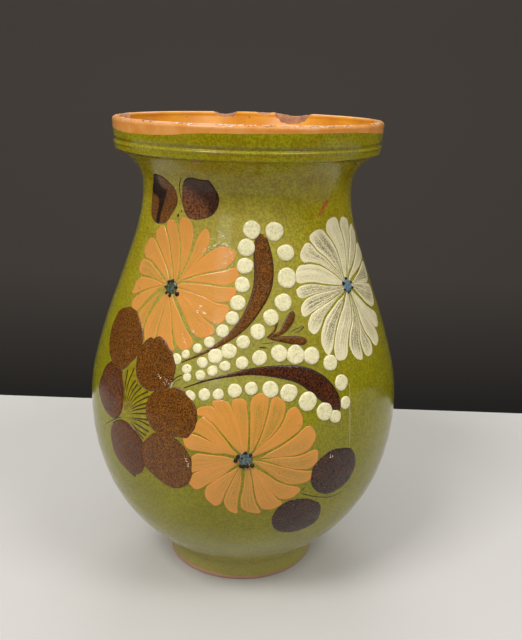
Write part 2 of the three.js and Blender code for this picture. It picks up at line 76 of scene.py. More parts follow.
def cubic(start, first_pull, second_pull, end, steps=400):
    """Points on a cubic Bezier curve."""
    t = np.linspace(0, 1, steps + 1)[:, None]
    a, b, c, d = map(np.array, (start, first_pull, second_pull, end))
    return (1 - t) ** 3 * a + 3 * (1 - t) ** 2 * t * b + 3 * (1 - t) * t * t * c + t**3 * d


def slanted(degrees, length):
    """A step of a length along a slope."""
    return length * math.cos(math.radians(degrees)), length * math.sin(math.radians(degrees))


rise_out = slanted(underside_slope, underside_pull * (belly[1] - crease[1]))
lean_out = slanted(throat_slope, throat_pull * (flare[1] - neck[1]))
above_crease = (crease[0] + rise_out[0], crease[1] + rise_out[1])
below_flare = (flare[0] - lean_out[0], flare[1] - lean_out[1])
outline = np.vstack(
    [
        cubic(crease, above_crease, (belly[0], belly_pulls[0]), belly),
        cubic(belly, (belly[0], belly_pulls[1]), (neck[0], neck_pulls[0]), neck)[1:],
        cubic(neck, (neck[0], neck_pulls[1]), below_flare, flare)[1:],
    ]
)
run = np.concatenate([[0], np.cumsum(np.hypot(*np.diff(outline, axis=0).T))])
wall_length = run[-1]
print("Wall length from crease to collar, mm:", round(float(wall_length), 1))

# %% Places on the wall
fine_wave, broad_wave = 0.035, 0.05
oval_rim, three_sided_rim = 0.22, 0.10
wavy_above, oval_above = 9.5, 150
slope_step = 0.8


def wall_radius(drop):
    return np.interp(wall_length - np.asarray(drop, float), run, outline[:, 0])


def unevenness(angle, z):
    """How far the thrown wall stands proud of its true outline, in millimetres."""
    wave = fine_wave * np.sin(z * 0.71 + 1.3 * np.sin(angle)) + broad_wave * np.sin(z * 0.23 + 2.0 * angle)
    wobble = oval_rim * np.cos(2 * angle + 0.6) + three_sided_rim * np.cos(3 * angle - 1.0)
    above_foot = np.clip((z - wavy_above) / 10, 0, 1)
    return above_foot * (wave + wobble * np.clip((z - oval_above) / 60, 0, 1))


def on_wall(turn, drop, lift):
    """Points in millimetres at a turn and drop, lifted square off the clay."""
    along = wall_length - np.asarray(drop, float)
    r, z = (np.interp(along, run, outline[:, k]) for k in (0, 1))
    ahead = [np.interp(along + slope_step, run, outline[:, k]) for k in (0, 1)]
    behind = [np.interp(along - slope_step, run, outline[:, k]) for k in (0, 1)]
    dr, dz = ahead[0] - behind[0], ahead[1] - behind[1]
    long = np.hypot(dr, dz)
    angle = np.radians(turn)
    lift = lift + unevenness(angle, z)
    r, z = r + dz / long * lift, z - dr / long * lift
    return np.stack([r * np.sin(angle), -r * np.cos(angle), z], -1)


def place(right, drop):
    """The turn and drop of a place given in millimetres of clay."""
    return math.degrees(right / float(wall_radius(drop))), drop


def laid(centre, x, y, lift):
    """Points drawn flat round a centre, x to the right and y up, laid on the wall."""
    drop = centre[1] - np.asarray(y, float)
    turn = centre[0] + np.degrees(np.asarray(x, float) / wall_radius(drop))
    return on_wall(turn, drop, lift)


print("Belly radius at drop 120, mm:", round(float(wall_radius(120)), 1))

# %% [markdown]
# ## From numbers to a mesh
#
# Each piece of slip is a small grid of points. One function turns any grid into a Blender mesh
# and gives it a UV map, so that a brush material knows which way the stroke ran: U goes across
# the stroke and V along it. Building meshes from grids keeps every edge crisp and every piece
# light, where a sculpted or displaced surface would need far more faces.

# %% Mesh helpers
made = []


def finish_piece(name, points, faces, uvs, materials, replaced=(), indices=None, marks=()):
    """A smooth mesh object in metres that rides on the root body."""
    mesh = bpy.data.meshes.new(name)
    mesh.from_pydata((np.asarray(points) * MM).tolist(), [], faces)
    layer = mesh.uv_layers.new(name="stroke")
    corners = np.empty(len(mesh.loops), int)
    mesh.loops.foreach_get("vertex_index", corners)
    layer.data.foreach_set("uv", np.asarray(uvs, float)[corners].ravel())
    mesh.polygons.foreach_set("use_smooth", [True] * len(mesh.polygons))
    for material in materials:
        mesh.materials.append(material)
    if indices is not None:
        mesh.polygons.foreach_set("material_index", indices)
    for label, values in dict(marks).items():
        mesh.attributes.new(label, "FLOAT", "POINT").data.foreach_set("value", np.ravel(values))
    piece = bpy.data.objects.new(name, mesh)
    bpy.context.scene.collection.objects.link(piece)
    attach(piece, "root")
    if replaced:
        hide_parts(*replaced)
    made.append(name)
    return piece


def grid_faces(rows, columns, wrap=False):
    """Four-sided faces between rows of points; a wrapped row is a closed ring."""
    last = columns if wrap else columns - 1
    faces = []
    for i in range(rows - 1):
        for j in range(last):
            here, ahead = i * columns + j, i * columns + (j + 1) % columns
            faces.append((here, ahead, ahead + columns, here + columns))
    return faces


def smooth_line(points, samples):
    """A Catmull-Rom curve through rows of numbers."""
    p = np.array(points, float)
    p = np.vstack([2 * p[0] - p[1], p, 2 * p[-1] - p[-2]])
    spans = len(p) - 3
    at = np.linspace(0, spans, samples)
    k = np.minimum(at.astype(int), spans - 1)
    t = (at - k)[:, None]
    a, b, c, d = p[k], p[k + 1], p[k + 2], p[k + 3]
    return 0.5 * (2 * b + (c - a) * t + (2 * a - 5 * b + 4 * c - d) * t**2 + (3 * b - a - 3 * c + d) * t**3)


def join_patches(patches):
    """Several (points, faces, uvs) as one."""
    points, faces, uvs, start = [], [], [], 0
    for patch_points, patch_faces, patch_uvs in patches:
        points.append(patch_points.reshape(-1, 3))
        uvs.append(patch_uvs.reshape(-1, 2))
        faces += [tuple(start + v for v in face) for face in patch_faces]
        start += len(points[-1])
    return np.vstack(points), faces, np.vstack(uvs)


print("A closed band of 2 rings with 36 points has", len(grid_faces(2, 36, wrap=True)), "faces")

# %% [markdown]
# ## Shared effects
#
# Fired clay is never one flat colour. Five effects come back in several finishes here: cloudy
# mottling, small iron specks, the streaks a loaded brush leaves, wear along an edge, and the
# faint unevenness of a glaze surface. Copying their nodes into every material would be long and
# hard to change. So each is a node group, built once, with its values as inputs, and the glaze,
# the slips and the bare clay share it at their own scale. A group gives out only a mask or a
# normal; the shader stays in the material. A small class adds nodes and joins them, for the
# groups here and for the materials later.

# %% Node group helpers
FLOAT, VECTOR = "NodeSocketFloat", "NodeSocketVector"


class Tree:
    """Short ways to add nodes to a node tree."""

    def __init__(self, tree):
        self.tree = tree

    def add(self, kind, links=(), **settings):
        """A node with settings, and inputs that are either joined to a socket or set to a value."""
        node = self.tree.nodes.new(kind)
        for key, value in settings.items():
            setattr(node, key, value)
        for key, value in dict(links).items():
            if isinstance(value, bpy.types.NodeSocket):
                self.tree.links.new(value, node.inputs[key])
            else:
                node.inputs[key].default_value = value
        return node

    def math(self, operation, *values, clamp=False):
        node = self.add("ShaderNodeMath", enumerate(values), operation=operation)
        node.use_clamp = clamp
        return node.outputs[0]


class Group(Tree):
    """A new shader node group with named sockets."""

    def __init__(self, name, inputs, outputs):
        super().__init__(bpy.data.node_groups.new(name, "ShaderNodeTree"))
        for label, kind, value in inputs:
            socket = self.tree.interface.new_socket(label, in_out="INPUT", socket_type=kind)
            if value is not None:
                socket.default_value = value
        for label, kind in outputs:
            self.tree.interface.new_socket(label, in_out="OUTPUT", socket_type=kind)
        self.input = self.tree.nodes.new("NodeGroupInput").outputs
        self.output = self.tree.nodes.new("NodeGroupOutput").inputs

    def send(self, label, socket):
        self.tree.links.new(socket, self.output[label])


print("Groups have sockets of two kinds:", FLOAT, VECTOR)

# %% [markdown]
# ### Mottling
#
# Glaze runs a little in the kiln and leaves soft clouds of thick and thin. They could be painted
# by hand, but noise gives them at any scale. The contrast is spread round the middle grey, so
# that a strong contrast leaves flat light and dark patches.

# %% Mottling
mottling = Group(
    "Mottling",
    [("Place", VECTOR, None), ("Size in mm", FLOAT, 10.0), ("Contrast", FLOAT, 1.0)],
    [("Cloud", FLOAT)],
)
cloud_scale = mottling.math("DIVIDE", 1 / MM, mottling.input["Size in mm"])
cloud_noise = mottling.add(
    "ShaderNodeTexNoise",
    {"Vector": mottling.input["Place"], "Scale": cloud_scale, "Detail": 4.0, "Roughness": 0.62},
)
centred = mottling.math("SUBTRACT", cloud_noise.outputs[0], 0.5)
doubled = mottling.math("MULTIPLY", mottling.input["Contrast"], 2.0)
spread = mottling.math("MULTIPLY", centred, doubled)
mottling.send("Cloud", mottling.math("ADD", spread, 0.5, clamp=True))
print("Mottling nodes:", len(mottling.tree.nodes))

# %% [markdown]
# ### Iron specks
#
# Grains of iron in the clay burn through the glaze as round dark dots. Noise would make blotches,
# so the dots are the middles of Voronoi cells. A cell's own colour decides by chance whether it
# has a dot, and how large the dot is.

# %% Iron specks
iron_specks = Group(
    "Iron specks",
    [("Place", VECTOR, None), ("Spacing in mm", FLOAT, 3.0), ("Size", FLOAT, 0.2), ("Share", FLOAT, 0.5)],
    [("Speck", FLOAT)],
)
cell_scale = iron_specks.math("DIVIDE", 1 / MM, iron_specks.input["Spacing in mm"])
cells = iron_specks.add(
    "ShaderNodeTexVoronoi", {"Vector": iron_specks.input["Place"], "Scale": cell_scale, "Randomness": 1.0}
)
chance = iron_specks.add("ShaderNodeSeparateColor", {0: cells.outputs["Color"]})
kept = iron_specks.math("LESS_THAN", chance.outputs[0], iron_specks.input["Share"])
smallest = 0.35
size_share = iron_specks.math("ADD", chance.outputs[1], smallest)
speck_reach = iron_specks.math("MULTIPLY", iron_specks.input["Size"], size_share)
from_middle = iron_specks.math("DIVIDE", cells.outputs["Distance"], speck_reach)
inside = iron_specks.math("SUBTRACT", 1.0, from_middle, clamp=True)
soft = iron_specks.math("MULTIPLY", inside, 3.0, clamp=True)
iron_specks.send("Speck", iron_specks.math("MULTIPLY", soft, kept))
print("Iron speck nodes:", len(iron_specks.tree.nodes))

# %% [markdown]
# ### Brush streaks
#
# The hairs of a brush leave fine lines along the stroke. A wave texture would repeat evenly, so
# this is noise drawn out along the stroke: many hairs across it and little change along it. The
# place on the pot is added, so that no two petals have the same hairs.

# %% Brush streaks
brush_streaks = Group(
    "Brush streaks",
    [("Stroke", VECTOR, None), ("Hairs", FLOAT, 7.0), ("Along", FLOAT, 1.2), ("Seed", VECTOR, None)],
    [("Streak", FLOAT)],
)
stretch = brush_streaks.add(
    "ShaderNodeCombineXYZ", {0: brush_streaks.input["Hairs"], 1: brush_streaks.input["Along"], 2: 1.0}
)
drawn = brush_streaks.add(
    "ShaderNodeVectorMath",
    {0: brush_streaks.input["Stroke"], 1: stretch.outputs[0]},
    operation="MULTIPLY",
)
moved = brush_streaks.add(
    "ShaderNodeVectorMath", {0: drawn.outputs[0], 1: brush_streaks.input["Seed"]}, operation="ADD"
)
hair_noise = brush_streaks.add(
    "ShaderNodeTexNoise", {"Vector": moved.outputs[0], "Scale": 1.0, "Detail": 3.0, "Roughness": 0.6}
)
steepness, start = 2.6, -0.8
streak = brush_streaks.math("MULTIPLY_ADD", hair_noise.outputs[0], steepness, start, clamp=True)
brush_streaks.send("Streak", streak)
print("Brush streak nodes:", len(brush_streaks.tree.nodes))

# %% [markdown]
# ### Edge wear
#
# A lip is rubbed most at its very edge, and in flakes. Painting them by hand would take long, so
# the wear is strongest at a given height, fades below it, and is broken up by two noises: one
# for the flakes and one for the stretches that have more of them.

# %% Edge wear
edge_wear = Group(
    "Edge wear",
    [
        ("Place", VECTOR, None),
        ("Height", FLOAT, 0.0),
        ("Edge in mm", FLOAT, 100.0),
        ("Reach in mm", FLOAT, 1.0),
    ],
    [("Worn", FLOAT)],
)
edge_level = edge_wear.math("MULTIPLY", edge_wear.input["Edge in mm"], MM)
wear_reach = edge_wear.math("MULTIPLY", edge_wear.input["Reach in mm"], MM)
below_edge = edge_wear.math("SUBTRACT", edge_level, edge_wear.input["Height"])
nearness = edge_wear.math("SUBTRACT", 1.0, edge_wear.math("DIVIDE", below_edge, wear_reach), clamp=True)
flake_noise = edge_wear.add(
    "ShaderNodeTexNoise",
    {"Vector": edge_wear.input["Place"], "Scale": 620.0, "Detail": 3.0, "Roughness": 0.65},
)
patch_noise = edge_wear.add(
    "ShaderNodeTexNoise", {"Vector": edge_wear.input["Place"], "Scale": 90.0, "Detail": 2.0}
)
untouched, crispness = 0.20, 22.0
rubbed = edge_wear.math("MULTIPLY", flake_noise.outputs[0], patch_noise.outputs[0])
rubbed = edge_wear.math("MULTIPLY", edge_wear.math("ADD", rubbed, -untouched), nearness)
edge_wear.send("Worn", edge_wear.math("MULTIPLY", rubbed, crispness, clamp=True))
print("Edge wear nodes:", len(edge_wear.tree.nodes))

# %% [markdown]
# ### Uneven glaze
#
# A glazed surface swells a little, which bends its reflections. Real displacement would need a
# very fine mesh for a few hundredths of a millimetre, so a bump tilts the normal instead. Each
# material can add its own height, such as brush hairs or grit.

# %% Uneven glaze
uneven_glaze = Group(
    "Uneven glaze",
    [
        ("Place", VECTOR, None),
        ("Size in mm", FLOAT, 6.0),
        ("Depth in mm", FLOAT, 0.02),
        ("Extra", FLOAT, 0.0),
    ],
    [("Normal", VECTOR)],
)
swell_scale = uneven_glaze.math("DIVIDE", 1 / MM, uneven_glaze.input["Size in mm"])
swell = uneven_glaze.add(
    "ShaderNodeTexNoise", {"Vector": uneven_glaze.input["Place"], "Scale": swell_scale, "Detail": 2.0}
)
surface = uneven_glaze.math("ADD", swell.outputs[0], uneven_glaze.input["Extra"])
depth = uneven_glaze.math("MULTIPLY", uneven_glaze.input["Depth in mm"], MM)
bump = uneven_glaze.add("ShaderNodeBump", {"Height": surface, "Distance": depth, "Strength": 1.0})
uneven_glaze.send("Normal", bump.outputs[0])
print("Groups:", [group.name for group in bpy.data.node_groups])

# %% [markdown]
# ## Materials
#
# Slip and glaze share one look from the outside: a thin, hard, glassy coat. So every painted
# finish is a Principled shader with low roughness, and they differ in the colour below. A picture
# painted on a texture would fix that colour at one scale. Here colours are mixed from masks
# instead: what is thick or thin, which way the brush ran, where iron specks have burnt through.

# %% Material helpers


class Finish(Tree):
    """A material with a Principled shader, and short ways to build its colour and surface."""

    def __init__(self, name, roughness, specular=0.33):
        self.material = bpy.data.materials.new(name)
        self.material.use_nodes = True
        super().__init__(self.material.node_tree)
        self.shader = self.tree.nodes["Principled BSDF"]
        self.shader.inputs["Roughness"].default_value = roughness
        self.shader.inputs["Specular IOR Level"].default_value = specular
        self.place = self.add("ShaderNodeTexCoord").outputs["Object"]

    def send(self, label, socket):
        self.tree.links.new(socket, self.shader.inputs[label])

    def split(self, vector):
        """The three parts of a vector."""
        return tuple(self.add("ShaderNodeSeparateXYZ", {0: vector}).outputs)

    def attribute(self, name):
        """A value that the mesh carries at its points."""
        return self.add("ShaderNodeAttribute", attribute_name=name).outputs["Fac"]

    def group(self, group, **values):
        """A shared effect; the words of an input's name are joined by underscores."""
        inputs = {key.replace("_", " "): value for key, value in values.items()}
        return self.add("ShaderNodeGroup", inputs, node_tree=group.tree).outputs[0]

    def cloud(self, size, contrast):
        """Mottling with patches of a size in millimetres."""
        return self.group(mottling, Place=self.place, Size_in_mm=size, Contrast=contrast)

    def specks(self, spacing, size, share):
        """Round specks in a share of the cells, which are spaced in millimetres."""
        return self.group(iron_specks, Place=self.place, Spacing_in_mm=spacing, Size=size, Share=share)

    def wear(self, level, reach):
        """Wear within a reach of the lip, in millimetres."""
        return self.group(edge_wear, Place=self.place, Height=level, Edge_in_mm=height, Reach_in_mm=reach)

    def uneven(self, size, depth, extra=0.0):
        """Swells of a size and depth in millimetres on the surface."""
        swells = self.group(
            uneven_glaze, Place=self.place, Size_in_mm=size, Depth_in_mm=depth, Extra=extra
        )
        self.send("Normal", swells)

    def mix(self, share, first, second):
        """One colour over another by a mask."""
        first, second = ((*c, 1.0) if isinstance(c, tuple) else c for c in (first, second))
        return self.add("ShaderNodeMix", {0: share, 6: first, 7: second}, data_type="RGBA").outputs[2]

    def stain(self, colour, tint, mask, strength):
        """A tint laid over a colour by a mask, no stronger than a share."""
        return self.mix(self.math("MULTIPLY", mask, strength), colour, tint)

    def span(self, value, low, high):
        """0 below low, 1 above high, and a ramp between."""
        return self.add("ShaderNodeMapRange", {0: value, 1: low, 2: high}).outputs[0]

    def fade(self, value, low, high):
        """1 below low, 0 above high, and a ramp between."""
        return self.math("SUBTRACT", 1.0, self.span(value, low, high))

    def curve(self, value, points):
        """A smooth curve through (input, output) points between 0 and 1."""
        node = self.add("ShaderNodeFloatCurve", {1: value})
        line = node.mapping.curves[0]
        line.points[0].location, line.points[-1].location = points[0], points[-1]
        for x, y in points[1:-1]:
            line.points.new(x, y)
        node.mapping.update()
        return node.outputs[0]


print("A finish has", sum(not name.startswith("_") for name in vars(Finish)), "helpers")

# %% [markdown]
# ### The green glaze
#
# The glaze is clear green over red clay, so it looks olive: warm on the neck, greener on the
# belly, browner where clouds of iron lie under it. The neck is also painted lighter. That is
# painted light, standing in for the light that the collar shades off it. The glaze has cloudy
# patches of up to two or three centimetres, a fine grain, and dark iron specks. All of it is one
# material for the whole pot, with the height on the pot as its guide, because a seam between two
# glazes would show.

# %% Green glaze
olive_neck_painted_light = (0.460, 0.384, 0.0085)
olive_collar = (0.345, 0.308, 0.0066)
olive_low = (0.246, 0.229, 0.004)
olive_dark = (0.095, 0.088, 0.001)
olive_light = (0.385, 0.360, 0.024)
olive_brown = (0.300, 0.180, 0.003)
speck_brown = (0.030, 0.018, 0.006)
height_share, grain_strength, speck_strength = 0.8, 0.48, 0.6
brown_low, brown_rise = 0.10, 0.45

glaze = Finish("green_glaze_over_red_clay", roughness=0.06)
glaze_x, glaze_y, glaze_z = glaze.split(glaze.place)
clouds = glaze.cloud(size=7.0, contrast=1.7)
grain = glaze.cloud(size=1.05, contrast=3.4)
on_neck = glaze.span(glaze_z, 0.100, 0.190)
on_collar = glaze.span(glaze_z, 0.200, 0.206)
# The lighter olive towards the neck is painted light, for the light that the collar shades off it.
by_height = glaze.mix(on_neck, olive_low, glaze.mix(on_collar, olive_neck_painted_light, olive_collar))
colour = glaze.mix(glaze.cloud(size=26.0, contrast=1.5), olive_dark, olive_light)
colour = glaze.mix(height_share, colour, by_height)
brown_share = glaze.math("MULTIPLY_ADD", on_neck, brown_rise, brown_low)
colour = glaze.mix(glaze.math("MULTIPLY", clouds, brown_share), colour, olive_brown)
colour = glaze.stain(colour, olive_dark, grain, grain_strength)
iron = glaze.specks(spacing=3.8, size=0.085, share=0.3)
colour = glaze.stain(colour, speck_brown, iron, speck_strength)
print("Green glaze nodes:", len(glaze.tree.nodes))

# %% [markdown]
# ### Foot and haze
#
# The foot is painted paler. Partly the glaze lies thin there, and partly it is painted light from
# the pale table, where the belly casts shade. On the front of the shoulder and on the underside
# the real glaze is a little milky with the soft reflection of a room. A plain studio has no such
# room to reflect, so a faint pale haze in the colour stands for it: a painted reflection. Its
# edges are long ramps, so that no border shows.

# %% Foot and haze
olive_foot_thin_glaze_and_light, foot_strength = (0.74, 0.62, 0.27), 0.24
olive_haze, haze_strength = (0.68, 0.66, 0.42), 0.085
haze_turn, underside_share = 0.22, 0.9

# The paler foot is partly thin glaze and partly painted light from the pale table.
colour = glaze.stain(colour, olive_foot_thin_glaze_and_light, glaze.fade(glaze_z, 0.010, 0.026), foot_strength)
facing = glaze.math("ARCTAN2", glaze_x, glaze.math("MULTIPLY", glaze_y, -1.0))
to_side = glaze.math("ABSOLUTE", glaze.math("ADD", facing, haze_turn))
above_belly, above_neck = glaze.span(glaze_z, 0.094, 0.114), glaze.span(glaze_z, 0.184, 0.204)
on_shoulder = glaze.math("SUBTRACT", above_belly, above_neck)
above_foot, towards_belly = glaze.span(glaze_z, 0.011, 0.015), glaze.span(glaze_z, 0.036, 0.048)
on_underside = glaze.math("SUBTRACT", above_foot, towards_belly)
# The haze is a painted reflection of a room on the shoulder and the underside.
haze = glaze.math("MULTIPLY", on_shoulder, glaze.fade(to_side, 0.38, 0.80))
haze = glaze.math("MULTIPLY_ADD", on_underside, underside_share, haze)
colour = glaze.stain(colour, olive_haze, haze, haze_strength)
print("With foot and haze:", len(glaze.tree.nodes))

# %% [markdown]
# ### The orange dip
#
# The potter dipped the rim in orange slip before glazing, and the edge of that dip is not level:
# it hangs lower at the left of the front. A ring cut from the mesh would give a hard seam. So the
# edge is a curve of height against the turn round the pot, and the colour changes where the glaze
# stands above it, with a slight waver.

# %% Orange dip
terracotta = (0.670, 0.252, 0.042)
terracotta_pale = (0.730, 0.328, 0.088)
dip_floor, dip_reach, dip_waver = 213, 6, 0.4
dip_blur = 0.06 * MM
dip_line = [
    (-180, 215.1), (-135, 215.4), (-95, 215.8), (-80, 215.5), (-70, 214.9), (-62, 214.5), (-50, 214.3),
    (-42, 214.5), (-35, 214.8), (-28, 215.3), (-18, 216.3), (-10, 216.6), (0, 216.75), (15, 216.9),
    (35, 217.05), (46, 216.9), (57, 216.3), (75, 215.4), (100, 215.0), (180, 215.1)]
dip_share = [((turn + 180) / 360, (z - dip_floor) / dip_reach) for turn, z in dip_line]
dip_edge = glaze.curve(glaze.math("MULTIPLY_ADD", facing, 0.5 / math.pi, 0.5), dip_share)
dip_level = glaze.math("MULTIPLY_ADD", dip_edge, dip_reach * MM, (dip_floor + dip_waver / 2) * MM)
wavy_z = glaze.math("MULTIPLY_ADD", glaze.cloud(size=7.0, contrast=1.0), dip_waver * MM, glaze_z)
in_dip = glaze.span(glaze.math("SUBTRACT", wavy_z, dip_level), -dip_blur, dip_blur)
colour = glaze.mix(in_dip, colour, glaze.mix(clouds, terracotta, terracotta_pale))
print("Dip edge from", min(z for _, z in dip_line), "to", max(z for _, z in dip_line), "mm")

# %% [markdown]
# ### Wear, wiped foot and chips
#
# The lip is rubbed, the very bottom of the foot was wiped bare so that the jug wouldn't stick to
# the kiln shelf, a little higher on its left, and chips at the back of the rim show brownish clay.
# The chips are cut in the mesh, which marks its broken points, and the other two are masks by
# height. All three are duller than the glaze.

# %% Wear, wiped foot and chips
worn_clay = (0.640, 0.350, 0.190)
bare_clay = (0.480, 0.250, 0.175)
broken_clay = (0.235, 0.100, 0.058)
broken_pale = (0.420, 0.170, 0.060)
wipe_lean = 0.020
wiped_below, glazed_above = 0.0019, 0.0026
worn_strength, worn_dullness = 0.4, 0.5
gloss, dullness = 0.06, 0.5


def broken_surface(finish):
    return finish.mix(finish.cloud(size=3.0, contrast=1.9), broken_clay, broken_pale)


worn = glaze.wear(glaze_z, reach=1.9)
leaning_z = glaze.math("MULTIPLY_ADD", glaze_x, wipe_lean, wavy_z)
wiped = glaze.fade(leaning_z, wiped_below, glazed_above)
chip = glaze.attribute("chipped")
colour = glaze.stain(colour, worn_clay, worn, worn_strength)
colour = glaze.mix(wiped, colour, bare_clay)
colour = glaze.mix(chip, colour, broken_surface(glaze))
glaze.send("Base Color", colour)
dull = glaze.math("MAXIMUM", chip, glaze.math("MULTIPLY", worn, worn_dullness))
dull = glaze.math("MAXIMUM", wiped, dull)
glaze.send("Roughness", glaze.math("MULTIPLY_ADD", dull, dullness, gloss))
glaze.uneven(size=8.0, depth=0.05, extra=glaze.math("SUBTRACT", glaze.math("MULTIPLY", grain, 0.25), worn))
print("Finished glaze nodes:", len(glaze.tree.nodes))

# %% [markdown]
# ### Lining and base
#
# The inside carries an amber glaze over the bare clay, and the base has none. Both could share
# the green glaze's material with more masks, but two short materials are easier to read, and
# the pot's faces say which one they take.

# %% Amber lining
lining = Finish("amber_glaze_inside", roughness=0.3)
lined = lining.mix(lining.cloud(size=12.0, contrast=1.2), (0.58, 0.200, 0.006), (0.73, 0.310, 0.014))
lined = lining.stain(lined, worn_clay, lining.wear(lining.split(lining.place)[2], reach=1.2), 0.4)
lined = lining.stain(lined, speck_brown, lining.specks(spacing=3.2, size=0.15, share=0.4), 0.6)
lining_chip = lining.attribute("chipped")
lining.send("Base Color", lining.mix(lining_chip, lined, broken_surface(lining)))
lining.send("Roughness", lining.math("MULTIPLY_ADD", lining_chip, 0.4, 0.3))
lining.uneven(size=9.0, depth=0.04)
print("Lining nodes:", len(lining.tree.nodes))

# %% Bare base
base = Finish("bare_red_clay", roughness=0.85, specular=0.3)
base_colour = base.mix(base.cloud(size=6.0, contrast=1.3), (0.34, 0.15, 0.085), (0.47, 0.22, 0.13))
base_specks = base.specks(spacing=1.8, size=0.25, share=0.4)
base.send("Base Color", base.stain(base_colour, (0.12, 0.05, 0.03), base_specks, 0.5))
base.uneven(size=1.2, depth=0.12)
print("Base nodes:", len(base.tree.nodes))

# %% [markdown]
# ### The petal slips
#
# Orange and cream petals are single brush strokes. The slip is thick and opaque round the edge
# and at the tip, where the brush was lifted, and thin down the middle, where the green shows
# through in fine streaks. Real transparency would need the glaze below it to be seen through, so
# the thin places are simply mixed towards a greenish colour. The streaks follow the UV map, and
# each petal carries its own thinness.

# %% Petal slips


def petal_finish(name, thick, thin, veil, dots, hairs):
    """Slip with a share of green showing, a share of cells with dots, and a share of brush hairs."""
    finish = Finish(name, roughness=0.10)
    stroke = finish.add("ShaderNodeUVMap", uv_map="stroke").outputs[0]
    stroke_u, stroke_v, _ = finish.split(stroke)
    hair = finish.group(brush_streaks, Stroke=stroke, Hairs=11.0, Along=1.1, Seed=finish.place)
    grit = finish.cloud(size=0.45, contrast=2.8)
    to_edge = finish.math("MULTIPLY_ADD", finish.math("FRACT", stroke_u), 2.0, -1.0)
    middle = finish.fade(finish.math("ABSOLUTE", to_edge), 0.55, 0.9)
    before_tip = finish.fade(stroke_v, 0.74, 0.97)
    thinned = finish.math("MULTIPLY", middle, before_tip)
    thinned = finish.math("MULTIPLY", thinned, finish.attribute("thinness"))
    streaked = finish.math("MULTIPLY", hair, finish.math("MULTIPLY_ADD", grit, 1.7, 0.25), clamp=True)
    colour = finish.stain(thick, thin, finish.math("MULTIPLY", thinned, streaked), veil)
    colour = finish.stain(colour, thin, finish.cloud(size=6.0, contrast=1.4), 0.16)
    colour = finish.stain(colour, thin, grit, 0.10)
    colour = finish.stain(colour, thin, hair, hairs)
    colour = finish.stain(colour, speck_brown, finish.specks(spacing=2.6, size=0.11, share=dots), 0.7)
    finish.send("Base Color", colour)
    finish.uneven(size=2.0, depth=0.03, extra=hair)
    return finish.material


orange_thick, orange_thin = (0.70, 0.275, 0.055), (0.32, 0.22, 0.035)
cream_thick, cream_thin = (0.92, 0.83, 0.525), (0.190, 0.160, 0.065)
orange_slip = petal_finish("orange_petal_slip", orange_thick, orange_thin, veil=0.95, dots=0.2, hairs=0.14)
cream_slip = petal_finish("cream_petal_slip", cream_thick, cream_thin, veil=1.05, dots=0.45, hairs=0.22)
print("Petal slips:", orange_slip.name, cream_slip.name)

# %% [markdown]
# ### Bead, brown and eye slips
#
# The beads are thick cream drops with pinholes. The brown slip is rich in iron and comes out
# grainy, almost granite-like, with tiny painted pale glints, and the upper left leaf carries a
# painted dark reflection as a mark on its mesh. The small motifs are only a few pixels wide, so a
# soft cloud between two colours is all they need.

# %% Bead slip
beads_finish = Finish("cream_bead_slip", roughness=0.10)
bead_colour = beads_finish.mix(
    beads_finish.cloud(size=2.0, contrast=1.8), (0.70, 0.64, 0.375), (0.81, 0.735, 0.46)
)
bead_thin = beads_finish.span(beads_finish.cloud(size=0.9, contrast=2.6), 0.62, 0.95)
bead_colour = beads_finish.stain(bead_colour, (0.40, 0.39, 0.15), bead_thin, 0.42)
pinholes = beads_finish.specks(spacing=2.4, size=0.12, share=0.3)
beads_finish.send("Base Color", beads_finish.stain(bead_colour, (0.10, 0.07, 0.02), pinholes, 0.8))
beads_finish.uneven(size=1.5, depth=0.05)
print("Bead slip nodes:", len(beads_finish.tree.nodes))

# %% Iron-rich slips
edge_and_reflection_black = (0.012, 0.003, 0.002)
glint_pale = (0.50, 0.36, 0.24)


def iron_finish(name, dark, light, glints, grit_size=0.65):
    """Grainy brown between two colours, with a share of cells that glint."""
    finish = Finish(name, roughness=0.10)
    grit = finish.cloud(size=grit_size, contrast=3.2)
    colour = finish.mix(grit, dark, light)
    colour = finish.stain(colour, dark, finish.cloud(size=8.0, contrast=1.2), 0.35)
    # This mark darkens stroke edges where the slip gathered, and paints the dark areas on the upper leaves,
    # one of them a painted reflection.
    colour = finish.stain(colour, edge_and_reflection_black, finish.attribute("dark_edge_and_reflection"), 0.94)
    colour = finish.stain(colour, glint_pale, finish.specks(spacing=2.2, size=0.10, share=glints), 0.6)
    finish.send("Base Color", colour)
    finish.uneven(size=1.2, depth=0.03, extra=grit)
    return finish.material


brown_slip = iron_finish("brown_slip", (0.055, 0.016, 0.001), (0.225, 0.078, 0.004), glints=0.4)
deep_brown_slip = iron_finish("deep_brown_slip", (0.038, 0.008, 0.000), (0.170, 0.048, 0.001), glints=0.4)
plume_slip = iron_finish("dark_plume_slip", (0.012, 0.002, 0.000), (0.116, 0.027, 0.003), glints=0.2)
dark_brown_slip = iron_finish("dark_brown_slip", (0.006, 0.002, 0.001), (0.095, 0.036, 0.020), glints=0.5)
# The upper left leaf's slip carries a painted dark reflection.
reflecting_leaf_slip = iron_finish(
    "reflecting_leaf_slip", (0.075, 0.025, 0.004), (0.230, 0.090, 0.018), glints=0.15
)
speckled_leaf_slip = iron_finish(
    "speckled_leaf_slip", (0.075, 0.022, 0.006), (0.235, 0.095, 0.038), glints=0.4, grit_size=0.8
)
leaf_clays = (dark_brown_slip, reflecting_leaf_slip, speckled_leaf_slip)
print("Grainy slips:", [clay.name for clay in (brown_slip, deep_brown_slip, plume_slip, *leaf_clays)])

# %% Eye and line slips


def plain_slip(name, first, second, size):
    """A soft cloud between two colours, with patches of a size in millimetres."""
    finish = Finish(name, roughness=0.14)
    finish.send("Base Color", finish.mix(finish.cloud(size=size, contrast=1.6), first, second))
    finish.uneven(size=1.2, depth=0.04)
    return finish.material


